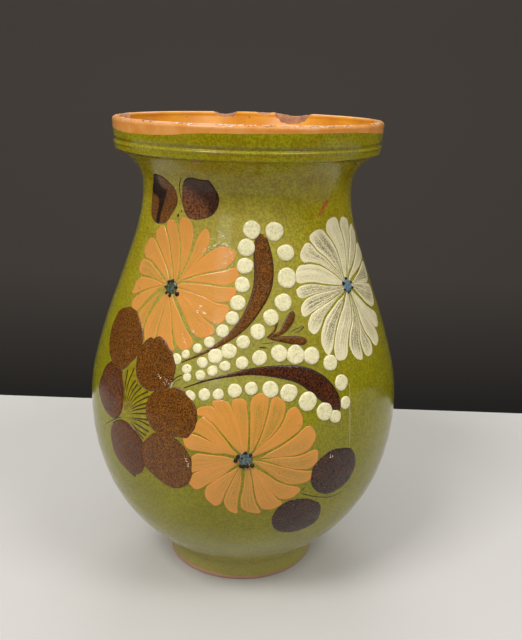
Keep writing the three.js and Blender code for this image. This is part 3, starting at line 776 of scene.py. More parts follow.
blue_slip = plain_slip("blue_eye_slip", (0.030, 0.070, 0.100), (0.210, 0.300, 0.340), 1.0)
dull_blue_slip = plain_slip("dull_blue_eye_slip", (0.010, 0.026, 0.040), (0.160, 0.210, 0.190), 1.0)
grey_slip = plain_slip("grey_green_eye_slip", (0.010, 0.018, 0.012), (0.100, 0.120, 0.070), 1.0)
black_slip = plain_slip("black_dot_slip", (0.002, 0.001, 0.000), (0.014, 0.005, 0.002), 0.8)
vein_slip = plain_slip("dark_vein_slip", (0.035, 0.026, 0.005), (0.080, 0.050, 0.008), 1.5)
fan_slip = plain_slip("yellow_green_fan_glaze", (0.190, 0.150, 0.004), (0.310, 0.245, 0.008), 2.2)
scratch_slip = plain_slip("rust_scratch", (0.35, 0.06, 0.015), (0.50, 0.14, 0.04), 1.0)
# The pale crackle colour is painted glints, where light catches crackled glaze.
crackle_glint_glaze = plain_slip("pale_crackle_glints", (0.75, 0.62, 0.42), (0.88, 0.82, 0.70), 1.0)
flake_glaze = plain_slip("pale_lip_flake", (0.62, 0.38, 0.22), (0.80, 0.66, 0.50), 0.8)
flake_clay = plain_slip("brown_lip_flake", (0.24, 0.11, 0.05), (0.46, 0.24, 0.13), 0.8)
pale_mark = plain_slip("pale_scratch", (0.42, 0.38, 0.20), (0.60, 0.56, 0.38), 1.0)
print("Materials:", len(bpy.data.materials))

# %% [markdown]
# ## The thrown pot
#
# The pot is turned from one outline, like the real one on the wheel: base, foot, wall, collar,
# lip, and back down the inside. It could also be a screw modifier on a drawn curve, but a grid
# built here can carry chips, marks and three materials. The turns are packed closer where the
# rim is chipped, at the back and at its left end, because the chips need a fine edge. Broad,
# shallow waves stand for the marks of the potter's fingers.

# %% Lines of the outline
wall_thickness, lip_thickness = 5.0, 4.0
collar_height, collar_lean = 13.6, 1.1
foot_radius, foot_round = 37.5, 1.2
floor_level = 9.0
lip_outer_round, lip_inner_round = 1.6, 1.4
lip_outer_middle = rim_radius - 1.7
lip_inner_middle = rim_radius - lip_thickness + lip_inner_round


def collar_face(below):
    """The collar's radius at a depth below the lip."""
    return rim_radius - collar_lean * below / collar_height


def arc(centre, radius, start, end, steps):
    angles = np.radians(np.linspace(start, end, steps + 1))
    return [(centre[0] + radius * math.cos(a), centre[1] + radius * math.sin(a)) for a in angles]


def even(points, spacing):
    """The same line with points every so many millimetres."""
    points = np.array(points, float)
    along = np.concatenate([[0], np.cumsum(np.hypot(*np.diff(points, axis=0).T))])
    steps = max(2, int(round(along[-1] / spacing)))
    at = np.linspace(0, along[-1], steps + 1)
    return np.stack([np.interp(at, along, points[:, k]) for k in (0, 1)], -1)


foot_line = even([(0, 0), (foot_radius - 1.5, 0)], 4.0)
foot_side = arc((foot_radius - foot_round, foot_round), foot_round, -90, 0, 5)
foot_side += [(foot_radius, 2.5), (foot_radius, 5.0), (foot_radius - 0.2, 7.2), (foot_radius - 0.6, 8.8)]
outside = even(outline, 1.1)
under_collar = [(flare[0] + 1.1, flare[1] + 0.3), (flare[0] + 2.1, flare[1] + 0.6)]
under_collar += arc((flare[0] + 2.55, flare[1] + 1.8), 1.0, -80, 0, 5)
ridge = [(collar_face(12.0), height - 12.0), (collar_face(11.6) + 0.15, height - 11.4)]
ridge += arc((collar_face(10.9) - 0.35, height - 10.9), 0.75, -40, 55, 5)
groove = [(collar_face(9.9) - 0.75, height - 9.9), (collar_face(9.2) - 0.35, height - 9.1)]
face = [(collar_face(below), height - below) for below in (8.4, 6, 3.6, 2.1)]
collar_line = even(ridge + groove + face, 0.45)
over_lip = arc((lip_outer_middle, height - lip_outer_round), lip_outer_round, 0, 90, 6)
over_lip += arc((lip_inner_middle, height - lip_inner_round), lip_inner_round, 90, 180, 6)
lip = even(over_lip, 0.35)
print("Points on the wall:", len(outside), "on the collar:", len(collar_line), "on the lip:", len(lip))

# %% The inside, and all lines in a row
GREEN, AMBER, BARE = 0, 1, 2
slope = np.gradient(outline[::-1], axis=0)
slope /= np.hypot(*slope.T)[:, None]
inner_wall = outline[::-1] + wall_thickness * np.stack([slope[:, 1], -slope[:, 0]], -1)
inner_wall = inner_wall[inner_wall[:, 1] > floor_level + 2.5]
inner_wall = np.vstack([[(rim_radius - lip_thickness, height - 2.0)], inner_wall])
in_throat = inner_wall[:, 1] > flare[1]
inner_wall = np.vstack([even(inner_wall[in_throat], 0.6), even(inner_wall[~in_throat], 2.2)])
floor_line = even([(27.5, floor_level + 0.4), (22.0, floor_level), (0.0, floor_level)], 3.0)
profile = np.vstack([foot_line, foot_side, outside, under_collar, collar_line, lip, inner_wall, floor_line])
lip_top = len(lip) // 2
green_rows = len(foot_side) + len(outside) + len(under_collar) + len(collar_line) + 1 + lip_top
kind = np.full(len(profile) - 1, AMBER)
kind[: len(foot_line) - 1] = BARE
kind[len(foot_line) - 1 : len(foot_line) - 1 + green_rows] = GREEN
print("Outline points:", len(profile), "highest:", profile[:, 1].max())

# %% Turning the pot
coarse, close, closest = 1.5, 0.4, 0.25
turns = np.concatenate(
    [
        np.arange(0, 141, coarse),
        np.arange(141.25, 206, closest),
        np.arange(206.5, 252, coarse),
        np.arange(252, 272, close),
        np.arange(272, 360, coarse),
    ]
)
ring = len(turns)
r, z = np.repeat(profile[:, :1], ring, 1), np.repeat(profile[:, 1:], ring, 1)
angle = np.radians(turns)[None, :]
r = r + np.clip((r - 30) / 5, 0, 1) * unevenness(angle, z)
print("Points round the pot:", ring)

# %% [markdown]
# ### Chips
#
# Two chips bite into the lip at the back, one on each side of the handle, with a worn spot
# between them. A nick and a worn patch lie at the left end of the rim. A boolean cut would leave
# thin slivers, so the lip's points are lowered to a broken surface instead. The points that
# moved are marked in an attribute, and the glaze material paints those as broken clay.

# %% Breaking the rim
# Each chip has a turn, half its length, and its depth at the outer and the inner side.
rim_chips = {
    "left_chip": (191.8, 6.4, 1.5, 2.7),
    "right_chip": (156.8, 10.6, 1.6, 5.4),
    "worn_spot": (172.2, 4.2, 0.25, 1.2),
    "end_nick": (266.0, 2.4, 1.9, 1.9),
    "end_patch": (259.5, 5.0, 0.15, 2.4),
}
lip_middle = rim_radius - lip_thickness / 2
outer_edge, inner_edge = rim_radius - 1.2, rim_radius - 4.0
ragged, facet_depth, marked_depth = 0.04, 0.10, 0.3
chipped = np.zeros_like(z)
for middle, half_length, outer_depth, inner_depth in rim_chips.values():
    along = np.radians(turns[None, :] - middle) * lip_middle
    share = np.abs(along / half_length) + ragged * np.sin(along * 1.9)
    inward = np.clip((outer_edge - r) / (outer_edge - inner_edge), 0, 1)
    outer_cut = outer_depth * (1 - np.clip(share, 0, 1) ** 1.3)
    inner_cut = inner_depth * (1 - np.clip(share, 0, 1) ** 3)
    facets = facet_depth * np.sin(along * 1.2 + r * 1.1) * np.clip(3 - 3 * share, 0, 1)
    broken = height - (outer_cut + (inner_cut - outer_cut) * inward + facets)
    cut = (share < 1) & (z > broken) & (r > neck[0])
    chipped = np.where(cut, np.maximum(chipped, np.clip((z - broken) / marked_depth, 0, 1)), chipped)
    z = np.where(cut, broken, z)
print("Chips:", len(rim_chips), "chipped points:", int(chipped.sum()))

# %% The pot's mesh
turned_uv = np.broadcast_arrays(turns[None, :] / 360, (profile[:, 1] / height)[:, None])
pot = finish_piece(
    "thrown_pot",
    np.stack([r * np.sin(angle), -r * np.cos(angle), z], -1).reshape(-1, 3),
    grid_faces(len(profile), ring, wrap=True),
    np.stack(turned_uv, -1).reshape(-1, 2),
    [glaze.material, lining.material, base.material],
    ["pot_body"],
    np.repeat(kind, ring).tolist(),
    {"chipped": chipped},
)
print("Pot faces:", len(pot.data.polygons))

# %% [markdown]
# ## The pulled handle
#
# A potter pulls a strap from a lump of wet clay, presses one end under the rim, bends it down
# and presses the other end on the shoulder. A box bent with modifiers would keep one width. So
# the strap is a loft: an oval section with a thumb groove, carried along a curve, and swollen
# where the clay was smeared on to the pot.

# %% The strap's line
strap_width, strap_thickness = 22, 9
width_at_top, width_at_foot = 4, 6
thickness_at_top, thickness_at_foot = 1.5, 2
smear_width, smear_thickness, smear_reach = 2.6, 2.0, 2.6
bend = np.array([104.0, 184.0])
strap_top = np.array([rim_radius - 2.4, height - 8.4])
strap_foot = np.array([float(np.interp(125.0, outline[:, 1], outline[:, 0])) - 5, 125.0])

out, up = bend[0] - strap_top[0], strap_top[1] - bend[1]
down = bend[1] - strap_foot[1]
upper_strap = cubic(strap_top, strap_top + (0.62 * out, 0.06 * up), bend + (0, 0.6 * up), bend, 60)
foot_pull = strap_foot + (0.42 * (bend[0] - strap_foot[0]), 0.3 * down)
lower_strap = cubic(bend, bend - (0, 0.5 * down), foot_pull, strap_foot, 60)
strap_line = even(np.vstack([upper_strap, lower_strap[1:]]), 1.2)
print("Handle rings:", len(strap_line))

# %% The strap's loft
share = np.linspace(0, 1, len(strap_line))
towards_top = np.clip(1 - share / 0.3, 0, 1) ** 2
towards_foot = np.clip(1 - (1 - share) / 0.3, 0, 1) ** 2
outer_wall = np.interp(strap_line[:, 1], outline[:, 1], outline[:, 0])
outer_wall = np.where(strap_line[:, 1] > flare[1] + 0.5, rim_radius - 0.6, outer_wall)
clear = np.clip(strap_line[:, 0] - outer_wall, 0, None)
smear = np.exp(-clear / smear_reach)
width = strap_width + width_at_top * towards_top + width_at_foot * towards_foot
thickness = strap_thickness + thickness_at_top * towards_top + thickness_at_foot * towards_foot
half_width = width / 2 + smear_width * smear
half_thickness = thickness / 2 + smear_thickness * smear
direction = np.gradient(strap_line, axis=0)
direction /= np.hypot(*direction.T)[:, None]
outward = np.stack([-direction[:, 1], direction[:, 0]], -1)
section = np.radians(np.arange(0, 360, 10.0))
across = np.sign(np.cos(section)) * np.abs(np.cos(section)) ** 0.8
thumb_groove = 0.9 * np.clip(np.sin(section), 0, 1) ** 8
lifted = np.sin(section)[None, :] * half_thickness[:, None] - thumb_groove
strap_points = np.stack(
    [
        across[None, :] * half_width[:, None],
        strap_line[:, :1] + outward[:, :1] * lifted,
        strap_line[:, 1:] + outward[:, 1:] * lifted,
    ],
    -1,
)
strap_uv = np.broadcast_arrays(np.linspace(0, 1, len(section))[None, :], share[:, None])
handle = finish_piece(
    "pulled_strap_handle",
    strap_points.reshape(-1, 3),
    grid_faces(len(strap_line), len(section), wrap=True),
    np.stack(strap_uv, -1).reshape(-1, 2),
    [glaze.material],
    ["strap_handle"],
)
print("Handle faces:", len(handle.data.polygons))

# %% [markdown]
# ## Daisies
#
# Each petal was one press of a loaded brush. Whole petals could be placed like leaves round a
# stalk, but the gaps between them are what the eye reads first. So the lines between petals are
# drawn, not the petals: each line is a few places in millimetres with half its width. A petal
# fills the room between two lines and ends in a round tip. Where two lines have no width the
# petals ran together while wet.

# %% Banks and slits
edge_share = np.array([0, 0.02, 0.05, 0.1, 0.18, 0.3, 0.5, 0.7, 0.82, 0.9, 0.95, 0.98, 1])
slip_edge, slip_rise, petal_rise = -0.10, 0.40, 0.15
petal_bank = 0.6
petal_rows, slit_samples = 16, 60
daisy_heart, open_slit = 1.6, 0.12


def bank(inward, rise, full=0.4, edge=slip_edge):
    """The lift of slip at a distance in from its edge: a steep round bank."""
    climb = np.clip(np.asarray(inward) / full, 0, 1)
    return edge + (rise - edge) * np.sqrt(1 - (1 - climb) ** 2)


def slit_side(line, side):
    """Points along a slit, moved by its half width to one side, and the lift of the edge there."""
    line = np.array(line, float)
    inner = line[0, :2] / np.hypot(*line[0, :2])
    line = np.vstack([[*(inner * daisy_heart), line[0, 2] * 0.5], line])
    along = np.concatenate([[0], np.cumsum(np.hypot(*np.diff(line[:, :2], axis=0).T))])
    at = np.linspace(0, along[-1], slit_samples)
    x, y, half = (np.interp(at, along, line[:, k]) for k in range(3))
    kernel = np.array([1, 3, 4, 3, 1]) / 12
    for values in (x, y, half):
        values[2:-2] = np.convolve(values, kernel, "valid")
    dx, dy = np.gradient(x), np.gradient(y)
    long = np.hypot(dx, dy)
    joined = 1 - np.clip(half / open_slit, 0, 1)
    edge = slip_edge + (0.8 * petal_rise - slip_edge) * joined
    x, y = x - side * dy / long * half, y + side * dx / long * half
    pick = np.linspace(0, slit_samples - 1, petal_rows)
    x, y, edge = (np.interp(pick, np.arange(slit_samples), values) for values in (x, y, edge))
    return np.stack([x, y], -1), edge


print("A petal has", petal_rows, "rows of", len(edge_share), "points before its tip")

# %% One petal and one daisy
tip_roundness = 2.7
tip_starts = 0.78
petal_waver, petal_hollow = 0.015, 0.05


def petal(centre, tip_direction, tip_reach, thinness, right_slit, left_slit, seed):
    """A petal between two slits, with a round tip at a direction and reach."""
    (right, right_edge), (left, left_edge) = slit_side(right_slit, 1), slit_side(left_slit, -1)
    # The sides run from slit to slit, and the cap narrows from their last row to the tip.
    across = edge_share[None, :, None]
    sides = right[:, None] * (1 - across) + left[:, None] * across
    lean = math.radians(tip_direction)
    tip = tip_reach * np.array([math.cos(lean), math.sin(lean)])
    middle = (right[-1] + left[-1]) / 2
    outward = np.sin(np.linspace(0, math.pi / 2, 11))[1:, None, None]
    narrowing = (1 - outward**tip_roundness) ** (1 / tip_roundness)
    cap = middle + (sides[-1][None] - middle) * narrowing + (tip - middle) * outward
    flat = np.concatenate([sides, cap])
    # How far each point lies in from its two slits and from the tip.
    outward = outward[:, 0, 0]
    cap_width = np.full(len(outward), np.hypot(*(left[-1] - right[-1])))
    widths = np.concatenate([np.hypot(*(left - right).T), cap_width])[:, None]
    from_right, from_left = edge_share[None, :] * widths, (1 - edge_share[None, :]) * widths
    cap_edge = np.full(len(outward), slip_edge)
    right_edge = np.concatenate([right_edge, cap_edge])[:, None]
    left_edge = np.concatenate([left_edge, cap_edge])[:, None]
    far_away = np.full(petal_rows, -9.0)
    to_tip = np.hypot(*(tip - middle)) * (1 - np.concatenate([far_away, outward]))[:, None]
    # The slip banks up from all three edges, and is a little hollow along its middle.
    right_bank = bank(from_right, petal_rise, petal_bank, right_edge)
    left_bank = bank(from_left, petal_rise, petal_bank, left_edge)
    to_cap = np.linspace(0, tip_starts, petal_rows)
    along = np.concatenate([to_cap, tip_starts + (1 - tip_starts) * outward])[:, None]
    lift = np.minimum(np.minimum(right_bank, left_bank), bank(to_tip, petal_rise, petal_bank))
    lift = lift + petal_waver * np.sin(7 * along + seed)
    lift -= petal_hollow * np.clip(np.minimum(from_right, from_left) - petal_bank, 0, 1) * (1 - along)
    uv = np.stack(np.broadcast_arrays(edge_share[None, :] + math.floor(seed), along), -1)
    points = laid(centre, flat[..., 0], flat[..., 1], lift)
    return points, grid_faces(len(flat), len(edge_share)), uv, np.full(lift.shape, thinness)


def daisy(name, centre, tips, slits, material):
    """All petals of a daisy as one piece; each tip has a direction, a reach and a thinness."""
    patches = [
        petal(centre, *tip, slits[k], slits[(k + 1) % len(slits)], k * 1.7)
        for k, tip in enumerate(tips)
    ]
    points, faces, uvs = join_patches([patch[:3] for patch in patches])
    marks = {"thinness": np.concatenate([patch[3].ravel() for patch in patches])}
    finish_piece(name + "_petals", points, faces, uvs, [material], [name], marks=marks)
    print(name, "petals:", len(tips))


# %% Upper orange daisy
upper_tips = [
    (18, 29.8, 0.3), (39, 30, 0.1), (63, 28.2, 0.4), (87, 30, 0.3), (104, 29.1, 0.4), (120, 27.9, 0.3),
    (144, 27.2, 0.4), (167, 24.6, 0.9), (190, 24.8, 0.4), (211, 26, 0.3), (234, 25.5, 0.8),
    (257, 26.5, 0.5), (280, 26.5, 0.3), (301, 28, 0.2), (319, 28, 0.3), (342, 29, 0.2), (0, 29.1, 0.3),
]
upper_slits = [
    [(4, 3, 0.35), (8.4, 3.4, 0.2), (14.7, 3.6, 0.2), (20.8, 3.2, 0.2), (25.4, 3.2, 0.35)],
    [(4.3, 3.6, 0.35), (8.7, 5.8, 0.2), (13.8, 7.7, 0.2), (19.5, 9.2, 0.2), (22.8, 10.1, 0.3)],
    [(5.2, 5.7, 0), (8.5, 10.5, 0), (12.1, 14.8, 0.1)],
    [(3.3, 5.8, 0.5), (4.8, 10.2, 0.3), (5.9, 15.1, 0.45), (6.6, 18.6, 0.7), (6.9, 21.8, 0.9)],
    [(2.4, 4.9, 0.35), (1.8, 10.4, 0.2), (0.7, 16.6, 0.2), (-0.7, 21.6, 0.2), (-2.2, 24.9, 0.3)],
    [(-0.4, 5.3, 0.25), (-2.3, 9.8, 0.2), (-4.4, 15.1, 0.2), (-6.7, 20, 0.2), (-8.9, 23.7, 0.3)],
    [(-2.1, 4.2, 0.4), (-4.3, 7.5, 0.2), (-7.6, 11.4, 0.2), (-10.9, 14.9, 0.2), (-14.9, 18.3, 0.3)],
    [(-4.3, 2.5, 0.5), (-7.1, 4.6, 0.4), (-11.3, 6.9, 0.4), (-15.7, 9.2, 0.35), (-19.8, 9.2, 0.15)],
    [(-5.4, 0.9, 0.05), (-9.7, 1.9, 0.25), (-14.9, 2.1, 0.45), (-20, 1.7, 0.5)],
    [(-5.2, 0.3, 0), (-10.4, -1.9, 0.1), (-14.9, -3.6, 0.3), (-18.4, -5.6, 0.4), (-21.9, -7.6, 0.6)],
    [(-4.3, -0.3, 0.6), (-7.6, -3.2, 0.8), (-11.1, -7.1, 0.7), (-14.4, -10.7, 0.55),
     (-16.7, -13.6, 0.5)],
    [(-3.2, -1.4, 0.8), (-5.3, -5.2, 0.9), (-7.6, -8.8, 0.7), (-9.3, -12.8, 0.5), (-10.5, -16.4, 0.4),
     (-11, -19.7, 0.3)],
    [(-1.7, -4.9, 0.1), (-2, -10.6, 0.15), (-2.4, -15.5, 0.15), (-2.7, -19.6, 0.2), (-2.7, -22.4, 0.3)],
    [(-0.1, -4.6, 0.1), (2.7, -11, 0.1), (4.4, -16.7, 0.2), (5.8, -20.4, 0.4), (7.2, -23.4, 0.6)],
    [(2.1, -3.5, 0.6), (4.5, -6.7, 0.7), (7.4, -10.2, 0.7), (10.1, -13.8, 0.7), (13.2, -17.3, 0.7)],
    [(6, -1.7, 0), (12.4, -6.4, 0), (18.4, -11.1, 0.1), (22.2, -13.0, 0.25)],
    [(5.1, 0.3, 0.15), (10.2, -0.6, 0.05), (15.9, -2.1, 0), (22, -4, 0.1), (24.7, -3.9, 0.25)],
]
upper_centre = place(-33.1, 57.8)
daisy("upper_orange_daisy", upper_centre, upper_tips, upper_slits, orange_slip)

# %% Lower orange daisy
lower_tips = [
    (20, 31.5, 0.7), (39, 29.9, 0.4), (61, 29.4, 0.9), (78, 28.8, 0.8), (96, 26.1, 0.5), (115, 27.4, 0.35),
    (137, 28.8, 0.3), (154, 25.5, 0.3), (169, 27, 0.4), (192, 25, 0.6), (214, 27.9, 0.4),
    (237, 27.4, 0.5), (260, 28.4, 1.0), (279, 28.5, 1.0), (300, 29.3, 0.5), (320, 30.2, 0.5),
    (339, 32.4, 0.9), (357, 32.3, 1.0),
]
lower_slits = [
    [(6.4, -0.1, 0.2), (14.1, 0.1, 0.05), (20.8, -0.1, 0.15), (24.9, 0.4, 0.3), (27.7, 1.6, 0.4)],
    [(5.1, 0.6, 0.9), (9.7, 3, 0.5), (15.3, 5.8, 0.35), (19.6, 8.5, 0.3), (22.3, 10.2, 0.3)],
    [(5, 4.1, 0), (9.6, 8.4, 0.05), (13.8, 13, 0.2), (15.9, 16.5, 0.3), (16.8, 19.9, 0.4)],
    [(3.3, 3.2, 0.4), (5.7, 8.6, 0.25), (7.3, 13.3, 0.2), (8.9, 18.9, 0.2), (9.8, 24.2, 0.3)],
    [(1.4, 3.7, 0.5), (1.5, 10.4, 0.3), (1.4, 17.7, 0.35), (0.9, 22.8, 0.6)],
    [(-0.9, 4.1, 0), (-2.8, 12.5, 0), (-5, 19.7, 0), (-6.3, 23.1, 0.15)],
    [(-2.6, 4.1, 0), (-7.4, 12.3, 0), (-11.3, 18.5, 0), (-13.9, 22.2, 0.1)],
    [(-3.2, 2.9, 0.6), (-5.2, 4.7, 0.5), (-8.6, 9, 0.3), (-11.2, 11.9, 0.25), (-13.6, 14.9, 0.1),
     (-18.1, 17.5, 0.05)],
    [(-5.1, 3.5, 0), (-11.5, 5.8, 0), (-15.9, 7.7, 0.1), (-19.8, 9.4, 0.3), (-22, 9.8, 0.4)],
    [(-3.8, 0.4, 0.7), (-8.5, 1.5, 0.6), (-12.4, 1.3, 0.3), (-16.7, 1.5, 0.4), (-20.2, 1.6, 0.5)],
    [(-5.1, -2.1, 0), (-11.5, -4, 0), (-18, -6.7, 0), (-21.6, -8.3, 0.1)],
    [(-3.1, -3.3, 0.7), (-5.5, -5.3, 0.4), (-8.4, -7.7, 0.05), (-12.7, -11.1, 0), (-16.3, -14.2, 0.15)],
    [(-3.1, -5.5, 0.1), (-5.8, -11.6, 0.1), (-7.9, -17, 0.1), (-9.1, -21.6, 0.2)],
    [(-0.8, -5.2, 0.9), (-0.8, -9.9, 0.6), (-1.2, -14.6, 0.5), (-2.2, -20, 0.5), (-2.2, -24.6, 0.7)],
    [(2.1, -4.9, 0.25), (3.2, -10.4, 0.2), (4, -16.7, 0.25), (5.2, -22.3, 0.3), (6.9, -25.8, 0.4)],
    [(3.5, -4.9, 0), (8, -11.6, 0), (12.6, -18.3, 0.05), (14.9, -21.1, 0.3)],
    [(4.1, -3.2, 0.8), (9.6, -7.4, 0.5), (14.1, -11.3, 0.3), (18.7, -13.8, 0.25), (21.5, -14.5, 0.4)],
    [(5.3, -0.7, 0.3), (9.8, -1.9, 0.25), (15.1, -4, 0.1), (20.1, -6, 0.05), (24.8, -7.3, 0.2),
     (27.5, -7.8, 0.4)],
]
lower_centre = place(1.2, 126.6)
daisy("lower_orange_daisy", lower_centre, lower_tips, lower_slits, orange_slip)

# %% Cream daisy
cream_tips = [
    (4, 28, 1.0), (25, 29.5, 0.3), (47, 31.5, 0.5), (71, 31, 0.5), (94, 30.5, 0.25), (118, 29.1, 0.9),
    (138, 28.6, 0.7), (162, 28.4, 0.25), (180, 28.8, 1.0), (195, 30.2, 1.0), (211, 31.9, 0.8),
    (227, 33.8, 0.9), (244, 34.2, 0.5), (263, 33.1, 1.0), (279, 33.6, 0.9), (297, 34, 0.4),
    (317, 31, 0.2), (340, 29, 0.9),
]
cream_slits = [
    [(4.9, 0.1, 0.1), (10.1, -0.5, 0.05), (15.6, -1.7, 0.05), (22, -3.5, 0.1)],
    [(6.6, 2.4, 0.9), (11.6, 3.8, 0.7), (16.6, 5.2, 0.4), (22.6, 6.8, 0.3)],
    [(3.3, 4.5, 0.6), (7.5, 7, 0.5), (12, 10.1, 0.4), (16.5, 13.1, 0.4), (19.6, 15.4, 0.4)],
    [(3.3, 6.9, 0.15), (7.9, 13.7, 0.2), (11.6, 18.3, 0.25), (13.7, 23.3, 0.3)],
    [(2.2, 6.1, 0.2), (4.3, 11.9, 0.2), (5.7, 18.4, 0.25), (5.1, 23.2, 0.25), (3.8, 26.4, 0.3)],
    [(-1.1, 6.7, 0.2), (-0.9, 11.8, 0.2), (-1.8, 16.7, 0.25), (-3.9, 20.9, 0.25), (-6.5, 24.1, 0.3)],
    [(-2.6, 6, 0.1), (-6.6, 9.9, 0.15), (-9.9, 14.1, 0.15), (-13.9, 17.3, 0.15), (-15.8, 20.3, 0.2)],
    [(-3.8, 3.8, 0.15), (-7.6, 7, 0.15), (-11.3, 9.6, 0.15), (-14.3, 11.5, 0.3), (-19, 12.7, 0.35),
     (-21.9, 12.6, 0.4)],
    [(-4.6, 0.7, 0.2), (-13, 2.4, 0.3), (-18.9, 3.9, 0.35), (-23.5, 4.3, 0.35), (-25.7, 3.9, 0.4)],
    [(-4.6, -0.3, 0.1), (-14, -0.4, 0.05), (-20.3, -0.7, 0.1), (-24.8, -1.8, 0.25)],
    [(-4.9, -1.9, 0.1), (-10.7, -3.7, 0.2), (-16.8, -5.6, 0.1), (-21.9, -7.4, 0.1), (-24.9, -8.7, 0.25)],
    [(-4.3, -3.2, 0.5), (-9.3, -5.1, 0.45), (-14, -7.9, 0.45), (-18.3, -10.9, 0.45),
     (-20.9, -14.4, 0.35)],
    [(-3.2, -3.9, 0.5), (-6, -7.6, 0.45), (-10.1, -12, 0.35), (-13.4, -16.1, 0.25),
     (-15.5, -19.5, 0.15), (-17.7, -24.2, 0.2)],
    [(-0.2, -4, 0.3), (-1, -10, 0.25), (-2.7, -15.4, 0.2), (-6.7, -20.2, 0.2), (-8.9, -25, 0.4)],
    [(1.2, -5.7, 0.1), (2, -11.6, 0.15), (1.4, -18.7, 0.15), (-0.6, -25, 0.25), (-0.5, -28.4, 0.4)],
    [(1.8, -5.8, 0.25), (3, -11.4, 0.25), (3.2, -17.2, 0.25), (4.9, -22.5, 0.25), (8.5, -27.1, 0.4)],
    [(3, -5.6, 0), (7.8, -12, 0), (13.6, -18.8, 0), (16.5, -23.1, 0.2)],
    [(3.7, -2.3, 0.9), (8.1, -6.7, 0.7), (12.7, -11.2, 0.6), (18.7, -14.7, 0.6)],
]
cream_centre = place(51, 58.4)
daisy("cream_daisy", cream_centre, cream_tips, cream_slits, cream_slip)

# %% [markdown]
# ## Blobs of slip
#
# A drop of slip lands as a low dome with a steep edge and a nearly flat top. A squashed sphere
# would have a thin, lens-like edge. So one function draws them all from an outline, ring by
# ring, with a steep bank. Each outline wavers a little, because slip never spreads in a true
# circle. The waver is random, but its seed is fixed, so that every run gives the same jug.

# %% Blobs
rng = np.random.default_rng(11)
dome_shares = np.array([1, 0.97, 0.92, 0.84, 0.68, 0.45, 0.22, 0])
crumb_shares = np.array([1, 0.9, 0.6, 0])
leaf_shares = np.array([1, 0.985, 0.96, 0.92, *np.arange(0.86, 0.02, -0.07), 0])
uv_width = 20
dome_bank, dome_bank_share = 0.9, 0.6
dark_from, dark_ramp = 0.62, 0.3


def blob(centre, outline_points, rise, share=dome_shares, rough=0.0):
    """A low dome over a closed flat outline round a centre."""
    shape = np.asarray(outline_points, float)
    middle = shape.mean(axis=0)
    flat = middle + (shape - middle)[None] * share[:, None, None]
    size = np.hypot(*(shape - middle).T).mean()
    lift = bank((1 - share) * size, rise, min(dome_bank, size * dome_bank_share))
    lift = np.repeat(lift[:, None], len(shape), 1)
    if rough:
        lift[2:-1] += rough * rng.standard_normal(lift[2:-1].shape)
    points = laid(centre, flat[..., 0], flat[..., 1], lift)
    return points, grid_faces(len(share), len(shape), wrap=True), flat / uv_width + 0.5


def wavering(radius, sides, amount):
    """A round outline whose radius wavers by an amount."""
    angle = np.linspace(0, 2 * math.pi, sides, endpoint=False)
    shape = np.ones(sides)
    for wave in (2, 3, 4, 6):
        shape += amount / wave * rng.uniform(-1, 1) * np.cos(wave * angle + rng.uniform(0, 6.3))
    return radius * shape[:, None] * np.stack([np.cos(angle), np.sin(angle)], -1)


def one_piece(name, patches, material, replaced=(), dark_edge=0.0):
    """Several patches as one piece, with darker edges along a stroke if asked."""
    points, faces, uvs = join_patches(patches)
    marks = {}
    if dark_edge:
        to_edge = np.abs(uvs[:, 0] * 2 - 1)
        marks["dark_edge_and_reflection"] = dark_edge * np.clip((to_edge - dark_from) / dark_ramp, 0, 1)
    return finish_piece(name, points, faces, uvs, [material], replaced, marks=marks)


print("A dome has", len(dome_shares), "rings, a leaf", len(leaf_shares))

# %% [markdown]
# ### Eyes
#
# Each daisy has a blue or grey disc in its middle, ringed with nearly black dots that were
# dripped on while it was wet, so they lie unevenly. The dots are placed one by one, because
# evenly turned copies would look printed.

# %% Eyes
eye_radius, eye_rise = 3.0, 0.55
dot_radius, dot_rise = 1.12, 0.85
# Each dot lies to the right and up from the middle, with its size.
eyes = {
    "upper_orange_daisy": (upper_centre, grey_slip, [
        (-1.8, 2.1, 0.8), (0, 2.8, 0.8), (-3, -0.2, 0.5), (2.3, 0.4, 0.7), (-2, -2.6, 0.6),
        (0, -3.4, 0.7), (3.5, -2.3, 0.95)]),
    "lower_orange_daisy": (lower_centre, dull_blue_slip, [
        (-3, 1, 0.9), (-4, -0.9, 0.9), (-0.1, 2.7, 0.75), (2.1, 1.8, 0.75), (-1.3, 0.6, 0.5),
        (-1.9, -3.4, 0.7), (-0.6, -3.6, 0.7), (0.9, -3.6, 0.7), (2.9, -3.2, 0.9)]),
    "cream_daisy": (cream_centre, blue_slip, [
        (-0.1, 3.2, 0.6), (-2.8, 1.5, 0.8), (-2.8, -1.4, 0.45), (-0.8, -3, 0.5), (0.8, -2.6, 0.45),
        (3.1, -1.5, 0.5), (2.9, 0.9, 0.5)]),
}
for name, (centre, material, dots) in eyes.items():
    disc = blob(centre, wavering(eye_radius, 28, 0.10), eye_rise)
    one_piece(name + "_blue_eye", [disc], material, [name + "_eye"])
    spots = [blob(centre, wavering(dot_radius * size, 14, 0.2) + (x, y), dot_rise) for x, y, size in dots]
    one_piece(name + "_black_dots", spots, black_slip)
print("Eyes:", len(eyes))
